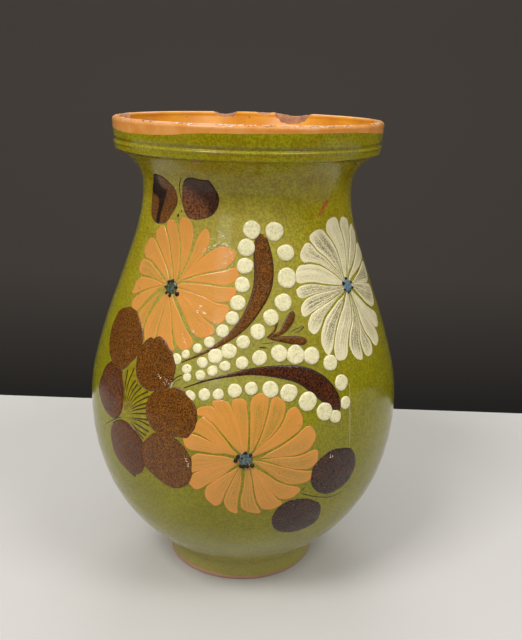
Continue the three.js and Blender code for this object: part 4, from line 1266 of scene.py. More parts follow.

# %% [markdown]
# ### Brown petals and leaves
#
# Six broad brown petals make the fan-shaped flower, and four brown leaves lie above and below
# the daisies. Each was pressed with the side of the brush and has its own uneven outline, so
# each outline is a list of places in millimetres round its middle, with a smooth line through
# them. The upper left leaf has a painted dark reflection over its upper left part and down its
# middle, and the upper right leaf is painted darker over its upper right part. Each dark area is
# a flat outline too, and the mesh carries how far each point lies inside it.

# %% Outlines of the brown petals and leaves
# Each has its middle to the right and its drop, and then its outline round that middle.
brown_shapes = {
    "brown_petal_top": (-62.9, 84.6, [
        (-4.2, -12.7), (-7.7, -10.3), (-10.2, -7.5), (-12.3, -3.9), (-13.1, 0.8), (-12.4, 5.2),
        (-10.3, 9.2), (-6, 11.9), (0.1, 13.7), (4.8, 13.1), (9, 10.3), (11.8, 7.5), (13.8, 4.5),
        (14.8, 1.8), (15.1, -1), (14.7, -3.7), (13, -6.8), (10.3, -10.3), (6.3, -13.7),
        (1.8, -14.5)]),
    "brown_petal_upright": (-40.2, 91.7, [
        (-8.9, 7.5), (-7.5, 9.5), (-5.3, 11.3), (-3.4, 11.2), (-2.4, 12), (-0.9, 12.7),
        (1.2, 12.4), (4, 10.7), (6.5, 8.4), (8.5, 6.3), (10.1, 3.3), (10.7, 0.7), (10.7, -2.5),
        (10.1, -5.4), (8.7, -7.8), (6.4, -9.2), (3, -10.4), (-0.3, -11.1), (-4, -10.8),
        (-6.9, -9.3), (-8.8, -7.3), (-10, -4.8), (-10.6, -1.6), (-10.8, 1.2), (-10, 4.5)]),
    "brown_petal_left": (-70, 110.3, [
        (-3.7, 13.2), (-7.3, 10.2), (-9.6, 6.7), (-11.2, 2.8), (-12.3, -1), (-11.7, -3.9),
        (-8.6, -6.4), (-4.9, -8.8), (-1.2, -10.5), (3.2, -11.2), (7, -10.6), (9.9, -8.7),
        (11.5, -5.5), (11.9, -2.5), (11.7, 1), (10.8, 4.3), (9.2, 7.3), (7.8, 9.8), (6.6, 12.1),
        (2, 13.4)]),
    "brown_petal_right": (-32.2, 110.1, [
        (-1.4, 10.6), (1.6, 11.4), (4.6, 11.1), (7.4, 9.6), (10, 7.3), (12, 4.3), (13, 1.5),
        (13, -1.8), (12.3, -4.6), (11, -7), (9.2, -9.4), (6.6, -9.4), (4.2, -9.5), (1.2, -10),
        (-2.5, -10.1), (-5.8, -9.4), (-8.5, -8.1), (-10.4, -5.7), (-11.6, -3.2), (-12.2, -0.5),
        (-11.9, 2.6), (-10.5, 5.7), (-8.1, 7.9), (-4.7, 9.5)]),
    "brown_petal_lower_left": (-57.8, 132.7, [
        (-8.5, 9.5), (-4.8, 11.8), (-0.6, 13.1), (3.4, 12.9), (6.8, 11.3), (9.5, 9.4), (11.9, 7.1),
        (12.9, 4.7), (13.4, 1.1), (13, -2.8), (11.9, -5.9), (10.1, -8.6), (7.7, -10.8), (5.9, -12),
        (4.7, -13.6), (3.1, -13.1), (0.6, -12.3), (-3.3, -10.8), (-6.8, -8.5), (-9.3, -5.2),
        (-10.8, -1.2), (-11.1, 3.2), (-10, 6.8)]),
    "brown_petal_lower_right": (-34, 132, [
        (-11.8, 5.8), (-9.3, 8.7), (-5.8, 11.6), (-2.6, 13), (1.2, 12.9), (4.3, 12.1), (7.3, 10.4),
        (9.6, 7.9), (11.3, 5.2), (12.5, 3.3), (12.5, -0.3), (12.4, -4.1), (11.5, -7.1),
        (9.5, -10.1), (6.9, -12), (3.8, -13), (0.7, -12.8), (-2.8, -11.6), (-6.2, -9.6),
        (-9.5, -7.3), (-11.5, -5.7), (-12.3, -2.1), (-12.4, 1.7)]),
    "upper_leaf_left": (-41.9, 22, [
        (-3.6, 11), (-1.9, 11.5), (-0.1, 11.5), (2.3, 11), (4.6, 10), (6.4, 8.6), (8, 7.4),
        (9.1, 5.9), (9.8, 4.1), (10.3, 2.3), (10.3, 0.7), (9.8, -1), (9, -2.7), (8, -4.4),
        (6.9, -6.2), (5.6, -8), (3.8, -9.4), (1.4, -10.2), (-1.4, -10.5), (-3.8, -10),
        (-6.2, -8.7), (-7.6, -7), (-8.2, -4.7), (-8.4, -2.4), (-8.4, -0), (-7.9, 2.4), (-7.1, 4.9),
        (-5.9, 7.5)]),
    "upper_leaf_right": (-20.9, 19.4, [
        (-6.5, 7.4), (-5.1, 8.6), (-3.3, 9.2), (-1.7, 9.4), (-0, 9.1), (2.1, 8.8), (4, 8.7),
        (5.6, 8.6), (6.6, 7.2), (7.5, 5.4), (8.5, 3.6), (9.2, 1.6), (9.3, -0.2), (9, -2),
        (7.9, -4.3), (6.4, -6.2), (4.3, -7.5), (2.2, -8.2), (-0, -8.6), (-2.1, -8.7), (-4.2, -8.4),
        (-5.7, -7.5), (-7, -5.6), (-7.9, -3.7), (-8.4, -1.4), (-8.3, 0.9), (-8, 3.2), (-7.4, 5.6)]),
    "lower_leaf_right": (43.1, 138.7, [
        (3.4, 11.1), (7.7, 9.5), (11.1, 5.7), (12.2, 1.2), (11.9, -3.4), (9.5, -7.4), (5.2, -10.2),
        (0.3, -11.3), (-4.8, -10.4), (-9.5, -7.3), (-12.1, -2.9), (-13, 1.3), (-12.2, 5.1),
        (-9.6, 8.4), (-5.8, 10.9), (-1.7, 11.8)]),
    "lower_leaf_left": (25.1, 160.5, [
        (9.8, 6.7), (11.6, 3.1), (12.2, -1.8), (11.2, -6.3), (7.2, -9.3), (2.5, -10.6),
        (-2.4, -10.3), (-7.1, -8.2), (-10.5, -4.3), (-11.8, 0.6), (-11.5, 5), (-9.4, 8.8),
        (-6.1, 11.2), (-1.7, 11.7), (4.2, 10.4)]),
}
print("Brown shapes:", len(brown_shapes))

# %% Dark areas on the upper leaves: a painted reflection and a darker patch
# Each has the width of its soft edge, its strength and its outline.
leaf_dark_areas = {
    # The upper left leaf's dark area is a painted reflection.
    "upper_leaf_left": (0.8, 1.0, [
        (-3.6, 13), (0.2, 13), (-0.6, 8.1), (0.9, 5.9), (4.5, 5.1), (3.8, 2.5), (2.4, -0.9), (1.2, -4.1),
        (0.6, -7), (0.6, -12), (-2.3, -12), (-2.1, -6.2), (-1.6, -3.3), (-1.7, -0.3), (-2.6, 1.7),
        (-9.5, 2.6), (-9.5, 12)]),
    # The upper right leaf is painted darker over its upper right part.
    "upper_leaf_right": (4.0, 0.76, [
        (-9.5, 12), (11, 12), (11, -8), (7, -9), (5.2, -6), (3.6, -2.5), (1.0, 0.4), (-1.5, 2.6),
        (-4.2, 4.6), (-9.5, 5.6)]),
}


def inside_share(x, y, corners, soft):
    """1 well inside a flat outline, 0 outside, with a soft edge."""
    corners = np.array(corners, float)
    ahead = np.roll(corners, -1, axis=0)
    crossed, nearest = np.zeros(x.shape, bool), np.full(x.shape, 99.0)
    for (ax, ay), (bx, by) in zip(corners, ahead):
        sideways = (bx - ax) * (y - ay) / (by - ay if by != ay else 1e-9) + ax
        crossed ^= ((ay > y) != (by > y)) & (x < sideways)
        t = np.clip(((x - ax) * (bx - ax) + (y - ay) * (by - ay)) / ((bx - ax) ** 2 + (by - ay) ** 2), 0, 1)
        nearest = np.minimum(nearest, np.hypot(x - ax - t * (bx - ax), y - ay - t * (by - ay)))
    return np.clip(0.5 + np.where(crossed, nearest, -nearest) / soft, 0, 1)


print("Streaked leaves:", list(leaf_dark_areas))

# %% Brown petals and leaves
leaf_slips = {
    "brown_petal_left": deep_brown_slip,
    "brown_petal_lower_left": deep_brown_slip,
    "upper_leaf_left": reflecting_leaf_slip,
    "upper_leaf_right": speckled_leaf_slip,
    "lower_leaf_left": dark_brown_slip,
    "lower_leaf_right": dark_brown_slip,
}
edge_points = 96
wave = np.arange(edge_points) * 2 * math.pi / edge_points
for name, (right, drop, corners) in brown_shapes.items():
    edge_line = smooth_line(corners + corners[:1], edge_points + 1)[:-1]
    ragged = 0.006 * np.sin(7 * wave + right) + 0.005 * np.sin(17 * wave + drop)
    edge_line = edge_line * (1 + ragged)[:, None]
    points, faces, uvs = blob(place(right, drop), edge_line, slip_rise, leaf_shares, rough=0.03)
    flat_x, flat_y = ((uvs[..., k] - 0.5) * uv_width for k in (0, 1))
    dark = np.zeros(flat_x.shape)
    if name in leaf_dark_areas:
        soft_edge, strength, streak_corners = leaf_dark_areas[name]
        dark = inside_share(flat_x, flat_y, streak_corners, soft_edge) * strength
    finish_piece(
        name + "_slip",
        points.reshape(-1, 3),
        faces,
        uvs.reshape(-1, 2),
        [leaf_slips.get(name, brown_slip)],
        [name],
        marks={"dark_edge_and_reflection": dark},
    )
print("Brown pieces:", made[-len(brown_shapes):])

# %% [markdown]
# ### Beads
#
# Four rows of cream drops frame the plumes. They could be copies of one dome, but drops of slip
# differ in size and some ran into a neighbour. So each bead is a blob of its own, and a bead
# that ran together with others has more than one dome. Two beads lie partly under the brown
# petals and are lower.

# %% Beads
bead_sides, bead_waver, bead_rough = 32, 0.09, 0.012
bead_rise, sunken_rise = 0.62, 0.3
# Each bead has a place to the right, a drop and a size. Three more numbers add a dome that ran
# into it: its place to the right and down from the first, and its size.
bead_rows = {
    "upper_left": [
        (2.1, 30.9, 3.8), (0, 38.3, 3.7), (-0.4, 45.9, 3.5), (-1.4, 53.7, 3.3), (-3.1, 61.3, 3.3),
        (-5.3, 67.7, 2.9), (-9.2, 73.2, 2.8), (-14.7, 78.2, 2.4), (-19.8, 81.3, 2.1), (-25, 84.4, 1.9),
        (-29.2, 86.9, 2.3)],
    "upper_right": [
        (11.6, 31.6, 4), (16.8, 40.6, 3.7), (17.5, 51.2, 4.3), (16, 61.3, 3.8), (10.8, 67.3, 3.4),
        (5.4, 73.1, 3.3), (-0.6, 77.4, 2.9), (-6.4, 81.4, 3.3, -5.6, 2.4, 3.2), (-17.5, 86.9, 2.4),
        (-24.3, 90.4, 2.2, 0.6, 3.4, 1.9)],
    "lower_upper": [
        (-18.2, 92.2, 2.2), (-13.1, 89.9, 2.3), (-7.9, 87.6, 2.3), (-0.9, 86, 2.7), (6.3, 83.9, 3.2),
        (14.6, 82.3, 3.6, 7.1, 1.1, 4.1, 14.4, 2.3, 3.8), (38.7, 88.9, 3.6), (44.7, 98.3, 3.6),
        (47, 107.4, 2.9)],
    "lower_lower": [
        (-22.7, 101.3, 2.4), (-16.4, 100, 2.6), (-10.5, 99.4, 2.4), (-3.7, 97.5, 3), (3.1, 96.5, 2.8),
        (11.1, 97, 3.5), (19, 98.9, 3.8), (27.6, 103.4, 4.2), (35.9, 108.9, 4, 5.4, 3.2, 3)],
}
under_brown = {("upper_left", 11), ("lower_lower", 1)}
for row, beads in bead_rows.items():
    for number, (right, drop, size, *more) in enumerate(beads, 1):
        centre = place(right, drop)
        rise = sunken_rise if (row, number) in under_brown else bead_rise
        patches = [blob(centre, wavering(size, bead_sides, bead_waver), rise, rough=bead_rough)]
        for k in range(0, len(more), 3):
            shape = wavering(more[k + 2], bead_sides, bead_waver) + (more[k], -more[k + 1])
            patches.append(blob(centre, shape, rise, rough=bead_rough))
        name = f"{row}_bead_{number:02d}"
        one_piece(name + "_drop", patches, beads_finish.material, [name])
print("Beads:", sum(len(beads) for beads in bead_rows.values()), "pieces so far:", len(made))

# %% [markdown]
# ## Strokes: plumes and sprig
#
# The plumes are long strokes of a brush that was pressed and then lifted, so they swell and run
# out into a hair. A bevelled curve would be round like a wire. So a stroke is a line of places
# with half its width, and a flat ribbon with a rounded back is laid along it. Its edges are
# darker, where the slip gathered.

# %% Ribbons
ribbon_share = np.array([0, 0.06, 0.16, 0.32, 0.5, 0.68, 0.84, 0.94, 1])
ribbon_sink = 0.04
thinnest, widest_bank, lowest_share = 0.03, 0.7, 0.3


def ribbon(line, rise=0.42, samples=60, base=0.0):
    """A stroke through (right, drop, half width) places on the wall."""
    line = smooth_line(line, samples)
    centre = place(float(line[:, 0].mean()), float(line[:, 1].mean()))
    x = line[:, 0] - math.radians(centre[0]) * wall_radius(line[:, 1])
    y = centre[1] - line[:, 1]
    dx, dy = np.gradient(x), np.gradient(y)
    long = np.maximum(np.hypot(dx, dy), 1e-6)
    half = np.maximum(line[:, 2], thinnest)
    off = (ribbon_share[None, :] * 2 - 1) * half[:, None]
    flat_x, flat_y = x[:, None] - (dy / long)[:, None] * off, y[:, None] + (dx / long)[:, None] * off
    climb = np.clip((half[:, None] - np.abs(off)) / np.minimum(half, widest_bank)[:, None], 0, 1)
    tall = np.clip(half, lowest_share, 1)[:, None]
    lift = base - ribbon_sink + (rise * tall + ribbon_sink) * np.sqrt(1 - (1 - climb) ** 2)
    along = np.linspace(0, 1, samples)[:, None]
    uv = np.stack(np.broadcast_arrays(ribbon_share[None, :], along), -1)
    return laid(centre, flat_x, flat_y, lift), grid_faces(samples, len(ribbon_share)), uv


print("A ribbon is", len(ribbon_share), "points wide")

# %% Plumes
upper_plume = [
    (6.6, 32.6, 0.3), (6.0, 34.4, 2.5), (6.8, 41.3, 3.9), (7.5, 48.3, 4.2), (6.8, 55.4, 4), (4, 62.4, 3.2),
    (0, 69.1, 2.4), (-5.2, 74.6, 1.6), (-11.4, 79.4, 0.9), (-19.1, 84, 0.5), (-26.9, 88, 0.25),
]
lower_plume = [
    (43.3, 111.4, 0.2), (43, 110.3, 1), (41.5, 106.6, 3), (37.5, 101.8, 4.3), (31.8, 96.7, 4.6),
    (24.3, 92.1, 3.8), (14.5, 89.9, 2.7), (3.6, 89.5, 1.5), (-6, 91.3, 0.7), (-15.9, 94.2, 0.4),
    (-25.5, 98.4, 0.2),
]
upper_stroke, lower_stroke = ribbon(upper_plume, samples=90), ribbon(lower_plume, samples=90)
one_piece("upper_plume_stroke", [upper_stroke], brown_slip, ["upper_plume"], dark_edge=0.6)
one_piece("lower_plume_stroke", [lower_stroke], plume_slip, ["lower_plume"], dark_edge=0.7)
print("Plumes:", made[-2:])

# %% Sprig
sprig = [
    [(9.2, 75.4, 0.15), (11.7, 73.6, 0.5), (12.8, 71.7, 0.45), (13, 69.9, 0.7), (12.9, 69.1, 0.2)],
    [(9.5, 75.5, 0.2), (11.7, 75, 0.5), (15.1, 73.7, 1.0), (17.4, 71.1, 1.6), (19.1, 68.2, 1.8),
     (20, 66, 1.2), (20.2, 65.2, 0.3)],
    [(9.5, 75.6, 0.2), (11.7, 76.1, 0.6), (16.3, 76.6, 1.3), (21, 77.3, 1.8), (25, 78.0, 1.6),
     (27, 78.4, 0.4)],
]
leaves = [ribbon(line, samples=26, base=0.1) for line in sprig]
one_piece("sprig_leaves", leaves, brown_slip, ["sprig"], dark_edge=0.8)
print("Sprig leaves:", len(sprig))

# %% [markdown]
# ## The fan
#
# Between the brown petals the glaze is yellower, and a fan of fine dark lines was drawn on it.
# The ground is a very low blob and the lines are ribbons. They could be painted in the glaze's
# material, but as pieces they keep a crisp edge at any distance.

# %% The fan's ground and lines
fan_edge = [
    (-59.5, 116.5), (-58.6, 99.5), (-55.6, 93.8), (-52.0, 92.0), (-50.5, 98.5), (-46.0, 101.5),
    (-41.0, 102.0), (-42.0, 108.0), (-42.0, 114.0), (-41.0, 120.0), (-44.0, 127.0), (-47.0, 127.5),
    (-51.0, 122.5), (-55.0, 118.8),
]
fan_right, fan_drop = -50, 110
fan_centre = place(fan_right, fan_drop)
fan_turn = math.radians(fan_centre[0])
fan_shape = [(right - fan_turn * float(wall_radius(drop)), fan_drop - drop) for right, drop in fan_edge]
fan_shape = smooth_line(fan_shape + fan_shape[:1], 57)[:-1]
one_piece("fan_ground", [blob(fan_centre, fan_shape, rise=0.06)], fan_slip)

# Each line has its start at the root of the fan, a place on its way and its end.
fan_ends = [
    [(-57.9, 115), (-57.8, 105.8), (-56.5, 97.1)],
    [(-57.7, 114.9), (-56.1, 104.2), (-52.2, 95.4)],
    [(-57.3, 114.8), (-54.4, 105.4), (-50.8, 100.2)],
    [(-57, 114.7), (-53.4, 106.8), (-49.5, 101.5)],
    [(-56.6, 114.6), (-51.7, 107), (-47, 102.2)],
    [(-56.1, 114.4), (-50, 107.6), (-43.3, 103.2)],
    [(-55.8, 114.8), (-49.1, 109.1), (-42.7, 105.1)],
    [(-55.8, 115.2), (-49.9, 111.3), (-43.7, 108.2)],
    [(-56.3, 116), (-49.8, 112.7), (-43.6, 110.2)],
    [(-57, 116.7), (-49.8, 114.3), (-43.2, 112.7)],
    [(-56, 117.8), (-49.7, 116.4), (-42.6, 115.2)],
    [(-54.7, 117.8), (-47.4, 116.9), (-42.2, 117.7)],
    [(-54.3, 118.1), (-48.1, 119.2), (-42.3, 120.4)],
    [(-53.8, 118.6), (-48.9, 121.2), (-44, 122.6)],
    [(-53, 119.1), (-48.2, 122.8), (-45.5, 124.6)],
]
fan_widths = (0.15, 0.44, 0.55)
fan_lines = [[(*spot, half) for spot, half in zip(line, fan_widths)] for line in fan_ends]
one_piece("fan_lines", [ribbon(line, rise=0.22, samples=16) for line in fan_lines], vein_slip)
print("Fan lines:", len(fan_lines))

# %% [markdown]
# ## Scratches and painted crackle glints
#
# A long life has left a rust-coloured scratch near the cream daisy, a pale run on the belly, a
# bare spot under the collar, and crackle in the glaze on the slip. Small pale crumbs are painted
# glints where light catches that crackle. Scratches are ribbons hardly higher than the wall. The
# glints are many tiny flakes dropped along lines, since a ring of even flakes would look like a
# seam.

# %% Scratches
scar = [(38.5, 19.8, 0.5), (37.5, 21.0, 1.1), (36.0, 22.8, 0.9), (34.3, 24.8, 0.65), (32.0, 27.3, 0.2)]
one_piece("rust_scratch", [ribbon(scar, rise=0.08, samples=18)], scratch_slip)
pale_run = [(49.6, 100, 0.1), (49.9, 112, 0.16), (50.2, 120, 0.12), (50.4, 128.5, 0.06)]
one_piece("pale_scratch", [ribbon(pale_run, rise=0.06, samples=30)], pale_mark)
print("Scratches:", made[-2:])

# %% Crackle glints
crackle_glint_lines = [
    [(-18.9, 41.3, 0.12), (-17.0, 39.6, 0.2), (-14.1, 38.2, 0.16), (-11.4, 37.9, 0.1)],
    [(-13.9, 47.1, 0.1), (-11.7, 46.2, 0.2), (-9.2, 45.3, 0.16), (-8.0, 43.7, 0.1)],
    [(-22.9, 73.2, 0.1), (-21.7, 74.6, 0.22), (-20.3, 75.2, 0.16), (-17.7, 77.6, 0.1)],
    [(-14.9, 68.9, 0.1), (-12.9, 69.7, 0.2), (-10.3, 71.0, 0.1)],
    [(-20.2, 63.6, 0.1), (-18.9, 64.0, 0.3), (-18.2, 64.0, 0.1)],
    [(-21.8, 66.1, 0.1), (-20.4, 66.5, 0.3), (-19.8, 66.7, 0.1)],
    [(-18.2, 65.9, 0.1), (-17.1, 66.3, 0.28), (-16.2, 66.4, 0.1)],
    [(-20.1, 70.5, 0.1), (-16.8, 72.4, 0.12), (-13.4, 74.8, 0.1)],
    [(-16.3, 34.5, 0.1), (-14.9, 35.6, 0.2), (-13.3, 35.2, 0.1)],
    [(-9.0, 40.5, 0.1), (-8.2, 43.0, 0.16), (-8.9, 47.5, 0.1)],
    [(-26.9, 75.5, 0.1), (-26.0, 79.0, 0.2), (-24.2, 82.5, 0.1)],
    [(-16.5, 41.0, 0.1), (-12.5, 37.6, 0.2), (-8.5, 37.4, 0.2), (-6.2, 40.5, 0.2), (-5.8, 46.0, 0.1)],
    [(-12.5, 30.5, 0.1), (-10.6, 33.5, 0.2), (-9.0, 37.5, 0.1)],
    [(-13.5, 36.0, 0.1), (-11.0, 34.2, 0.2), (-8.2, 34.0, 0.1)],
]
glints = [
    [(-38.0, 94.5, 0.1), (-36.5, 96.5, 0.2), (-33.6, 98.6, 0.15)],
    [(-35.8, 94.2, 0.1), (-33.4, 96.8, 0.2), (-32.0, 98.0, 0.1)],
    [(-32.6, 93.6, 0.1), (-30.8, 97.2, 0.2), (-31.5, 99.0, 0.1)],
    [(-24.6, 127.8, 0.1), (-23.2, 130.5, 0.25), (-22.6, 133.5, 0.1)],
    [(38.6, 128.6, 0.15), (39.7, 129.9, 0.3), (40.6, 130.6, 0.1)],
]


def scatter_crumbs(lines, rise, per_mm):
    """Tiny flakes dropped at random along lines of (right, drop, size)."""
    patches, spread, samples = [], 0.3, 40
    for line in lines:
        path_line = smooth_line(line, samples)
        length = np.hypot(*np.diff(path_line[:, :2], axis=0).T).sum()
        for right, drop, half in path_line[rng.integers(0, samples, max(3, int(length * per_mm)))]:
            size = half * rng.uniform(0.5, 1.3)
            spot = place(right + rng.normal(0, spread), drop + rng.normal(0, spread))
            shape = wavering(size, 8, 0.5) * (rng.uniform(1, 2.2), rng.uniform(0.6, 1))
            patches.append(blob(spot, shape, rise, crumb_shares))
    return patches


# These pale crumbs are painted glints on crackled glaze, on the daisy and on the brown slips.
crumbs = scatter_crumbs(crackle_glint_lines, rise=0.28, per_mm=2.6)
crumbs += scatter_crumbs(glints, rise=0.50, per_mm=2.8)
one_piece("painted_crackle_glints", crumbs, crackle_glint_glaze)
bare_spot = blob(place(-21.1, 0.9), wavering(1.0, 20, 0.5) * (1.7, 0.9), rise=0.03)
one_piece("bare_spot_under_collar", [bare_spot], base.material)
print("Crackle flakes:", len(crumbs))

# %% [markdown]
# ## Hair lines
#
# Stems and short flicks join the leaves and the sprig to the flowers. They were drawn with the
# tip of the brush. A line painted in the material would blur when the camera comes close, and a
# ribbon about half a millimetre wide does not.

# %% Hair lines
stems = [
    [(-59.8, 118.9, 0.25), (-63.5, 120.6, 0.3), (-67.2, 122.8, 0.25), (-73.2, 126.7, 0.2),
     (-75.3, 129.8, 0.12)],
    [(26.4, 145.9, 0.12), (27.2, 146.5, 0.3), (32.9, 149.4, 0.3), (41.3, 152.4, 0.3),
     (48.4, 152.1, 0.2)],
    [(26.6, 144.7, 0.3), (27.4, 143.6, 0.25), (28.2, 142.8, 0.1)],
    [(6.2, 79.5, 0.3), (8, 79.7, 0.35), (9.6, 79.9, 0.15)],
    [(6.8, 78.1, 0.1), (9.2, 78.0, 0.15), (12, 77.7, 0.1)],
    [(19.5, 73.7, 0.12), (22.8, 72.3, 0.2), (24.3, 71.9, 0.15)],
    [(21, 74.4, 0.12), (23.7, 73.6, 0.25), (25.2, 71.9, 0.4)],
    [(-32.6, 98.9, 0.1), (-29.6, 95.1, 0.3), (-26.3, 93, 0.25)],
    [(-31, 98.6, 0.1), (-28.9, 96, 0.15), (-26.5, 94.9, 0.1)],
    [(-28.9, 10.7, 0.12), (-30.1, 13, 0.28), (-30.5, 15.3, 0.28), (-30.1, 18.1, 0.28),
     (-29.2, 21.1, 0.12)],
    [(-31, 26.4, 0.3), (-31.2, 27.2, 0.6), (-31.1, 28, 0.3)],
    [(-29.6, 24.6, 0.2), (-29.5, 25.3, 0.35), (-29.7, 25.9, 0.2)],
]
one_piece("hair_lines", [ribbon(line, rise=0.22, samples=18) for line in stems], vein_slip)
print("Hair lines:", len(stems), "pieces:", len(made))

# %% [markdown]
# ## The worn lip
#
# Years of lids and knocks have flaked the orange dip along the lip, so pale crumbs of glaze and
# clay show there. Noise in the material gives the fine rubbing, but larger flakes have an edge
# of their own. Each is a tiny flat crumb on the lip's round edge, thickest in clusters, because
# wear starts where the lip is already chipped.

# %% Flakes on the lip
flake_sink = 0.08


def on_lip(turn, tilt, lift):
    """Points on the round of the lip: tilt is 0 at its outer side, 90 on top and 180 inside."""
    angle, slope = np.radians(turn), np.radians(tilt)
    inside = tilt > 90
    middle = np.where(inside, lip_inner_middle, lip_outer_middle)
    bend = np.where(inside, lip_inner_round, lip_outer_round)
    z = height - bend + (bend + lift) * np.sin(slope)
    r = middle + (bend + lift) * np.cos(slope) + unevenness(angle, z)
    return np.stack([r * np.sin(angle), -r * np.cos(angle), z], -1)


def flake(turn, tilt, half_long, half_wide, thickness, ragged=0.6):
    """A flat crumb on the lip, from half its length, half its width and its thickness."""
    shape = wavering(1.0, 10, ragged)
    rings = crumb_shares[:, None]
    along, over = (rings * shape[None, :, k] for k in (0, 1))
    climb = np.sqrt(1 - rings**4)
    lift = np.repeat(-flake_sink + (flake_sink + thickness) * climb, len(shape), 1)
    turns_at = turn + np.degrees(along * half_long / rim_radius)
    points = on_lip(turns_at, tilt + np.degrees(over * half_wide / lip_outer_round), lift)
    uv = np.stack([along, over], -1) / 2 + 0.5
    return points, grid_faces(len(crumb_shares), len(shape), wrap=True), uv


print("A flake has", len(crumb_shares), "rings")

# %% Worn lip
# Each run has its first and last turn, the number of flakes and their tilt on the lip.
worn_runs = [
    (-84, -56, 26, 88), (-45, -38, 20, 62), (-29, -17, 58, 64), (-12, 9.5, 84, 66), (11, 21, 12, 70),
    (23, 35, 34, 62), (38.5, 43.5, 18, 60), (57, 82, 34, 66),
]
dark_share = 0.55
smallest_flake, largest_flake = 0.22, 0.75
flake_long, flake_wide, tilt_spread = 1.3, 0.45, 12
thinnest_flake, thickest_flake = 0.02, 0.06
pale_flakes, dark_flakes = [], []
for first, last, count, tilt in worn_runs:
    for turn in rng.uniform(first, last, count):
        size = rng.uniform(smallest_flake, largest_flake)
        flake_tilt = rng.normal(tilt, tilt_spread)
        thick = rng.uniform(thinnest_flake, thickest_flake)
        patch = flake(turn, flake_tilt, flake_long * size, flake_wide * size, thick)
        (dark_flakes if rng.uniform() < dark_share else pale_flakes).append(patch)
# One long flake lies on top of the lip at the back, over the handle.
pale_flakes.append(flake(180.6, 88, 5.4, 0.5, 0.03, 0.15))
one_piece("lip_pale_flakes", pale_flakes, flake_glaze)
one_piece("lip_dark_flakes", dark_flakes, flake_clay)
print("Lip flakes:", len(pale_flakes), len(dark_flakes), "all pieces:", len(made))

# %% [markdown]
# ## Table and wall behind
#
# The jug stands on a plain pale table, and a plain dark wall stands far behind it. A single
# curved sheet would give one pale ground without an edge, but the jug was seen against the dark.
# So the table ends a little behind the jug, and the wall fills the upper part of the picture. It
# darkens downwards, where less light falls. Both are stage objects.

# %% Table and wall
table_colour = (0.53, 0.515, 0.49)
wall_low, wall_high = (0.036, 0.033, 0.031), (0.110, 0.095, 0.082)
table_left, table_right, table_front = -0.75, 1.2, -0.43
table_back_left, table_back_right = 0.2186, 0.126
wall_distance, wall_half, wall_floor, wall_top = 2.2, 3, -2.0, 2.6
wall_dark_below, wall_light_above = -0.86, -0.40


def sheet(name, corners, material):
    """A flat stage object through four corners, in metres."""
    mesh = bpy.data.meshes.new(name)
    mesh.from_pydata(corners, [], [(0, 1, 2, 3)])
    mesh.materials.append(material)
    thing = bpy.data.objects.new(name, mesh)
    bpy.context.scene.collection.objects.link(thing)


table_finish = Finish("pale_table", roughness=0.6, specular=0.2)
table_shade = tuple(0.96 * part for part in table_colour)
table_cloud = table_finish.cloud(size=120.0, contrast=0.8)
table_finish.send("Base Color", table_finish.mix(table_cloud, table_shade, table_colour))
table_front_corners = [(table_left, table_front, 0), (table_right, table_front, 0)]
table_back_corners = [(table_right, table_back_right, 0), (table_left, table_back_left, 0)]
sheet("table", table_front_corners + table_back_corners, table_finish.material)

dark_wall = Finish("dark_wall", roughness=0.9, specular=0.2)
up_the_wall = dark_wall.span(dark_wall.split(dark_wall.place)[2], wall_dark_below, wall_light_above)
dark_wall.send("Base Color", dark_wall.mix(up_the_wall, wall_low, wall_high))
wall_foot = [(-wall_half, wall_distance, wall_floor), (wall_half, wall_distance, wall_floor)]
wall_head = [(wall_half, wall_distance, wall_top), (-wall_half, wall_distance, wall_top)]
sheet("backdrop", wall_foot + wall_head, dark_wall.material)
print("Stage: a table", table_right - table_left, "m wide and a wall", wall_distance, "m behind")

# %% [markdown]
# ## Lamps and sky
#
# Two soft lamps above the front left and the front right model the round body, the left one
# twice as strong. A small window lamp far in front gives a quiet gleam, and a lamp behind lights
# the lining and the rim. A single bare lamp would leave hard, black shadows. The sky only fills
# them: it is dim at the horizon and brightens upwards, and the glaze reflects that.

# %% Lamps
jug_middle = (0, 0, 0.11)


def lamp(name, position, width, tall, power):
    """A soft rectangular lamp that faces the middle of the jug, with its power in watts."""
    data = bpy.data.lights.new(name, "AREA")
    data.shape, data.size, data.size_y, data.energy = "RECTANGLE", width, tall, power
    thing = bpy.data.objects.new(name, data)
    bpy.context.scene.collection.objects.link(thing)
    thing.location = position
    aim = np.array(jug_middle) - np.array(position)
    flat = math.hypot(aim[0], aim[1])
    thing.rotation_euler = (math.atan2(flat, -aim[2]), 0, math.atan2(-aim[0], aim[1]))


lamp("left_lamp", (-0.75, -0.80, 1.45), 0.6, 0.6, 19.3)
lamp("right_lamp", (0.85, -0.70, 1.45), 0.6, 0.6, 9.9)
lamp("window", (-0.80, -2.00, 0.70), 0.5, 0.7, 2.4)
lamp("back_lamp", (0.0, 1.40, 1.30), 1.0, 0.6, 8.0)
print("Lamps:", [light.name for light in bpy.data.lights])

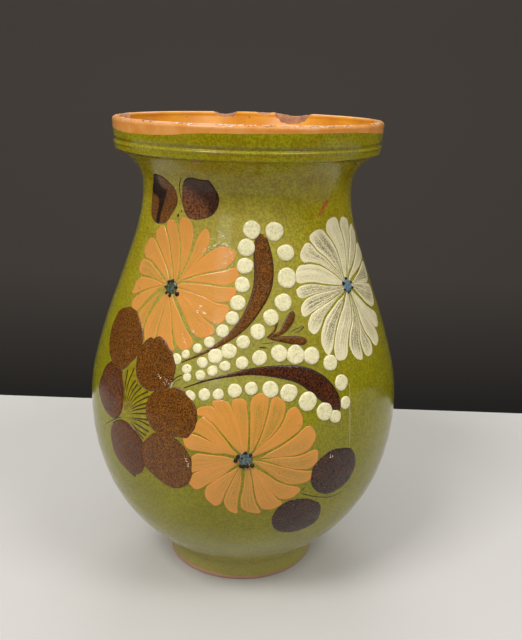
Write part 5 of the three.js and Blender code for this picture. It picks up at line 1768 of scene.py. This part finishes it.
# %% Sky
sky_colour = (1.0, 0.98, 0.95, 1)
sky_from, sky_to = -0.05, 0.85
sky_dim, sky_bright = 0.05, 0.84
world = bpy.data.worlds.new("room")
bpy.context.scene.world = world
world.use_nodes = True
room = Tree(world.node_tree)
direction = room.add("ShaderNodeTexCoord").outputs["Generated"]
upness = room.add("ShaderNodeSeparateXYZ", {0: direction}).outputs[2]
ramp = {0: upness, 1: sky_from, 2: sky_to, 3: sky_dim, 4: sky_bright}
background = room.tree.nodes["Background"].inputs
room.tree.links.new(room.add("ShaderNodeMapRange", ramp).outputs[0], background["Strength"])
background["Color"].default_value = sky_colour
print("Sky strength from", sky_dim, "to", sky_bright)

# %% [markdown]
# ## Camera
#
# The camera has the photograph's angle, height and lens. It looks down a little, slightly to
# the right, and is held a little askew. Rotations one after another are easy to get wrong, so
# the view is built from the three directions that the camera sees: its side, up and forward.

# %% Camera
camera_data = bpy.data.cameras.new("camera")
camera_data.lens = 44.44
camera_data.sensor_width = 36
camera = bpy.data.objects.new("camera", camera_data)
bpy.context.scene.collection.objects.link(camera)
camera.location = (0, -0.3732, 0.2376)
pitch, yaw, roll = (math.radians(a) for a in (17.068, 1.209, 1.444))
forward = np.array([math.sin(yaw) * math.cos(pitch), math.cos(yaw) * math.cos(pitch), -math.sin(pitch)])
side = np.array([math.cos(yaw), -math.sin(yaw), 0.0])
upward = np.cross(side, forward)
rolled_side = math.cos(roll) * side + math.sin(roll) * upward
rolled_up = np.cross(rolled_side, forward)
camera.rotation_mode = "QUATERNION"
camera.rotation_quaternion = Matrix(
    [[rolled_side[i], rolled_up[i], -forward[i]] for i in range(3)]
).to_quaternion()
bpy.context.scene.camera = camera
bpy.context.scene.view_settings.view_transform = "Standard"
print("Camera at", tuple(round(part, 4) for part in camera.location))

# %% [markdown]
# ## Last step
#
# Last, the scene is updated, so that every piece stands in its place.

# %% Update
bpy.context.view_layer.update()
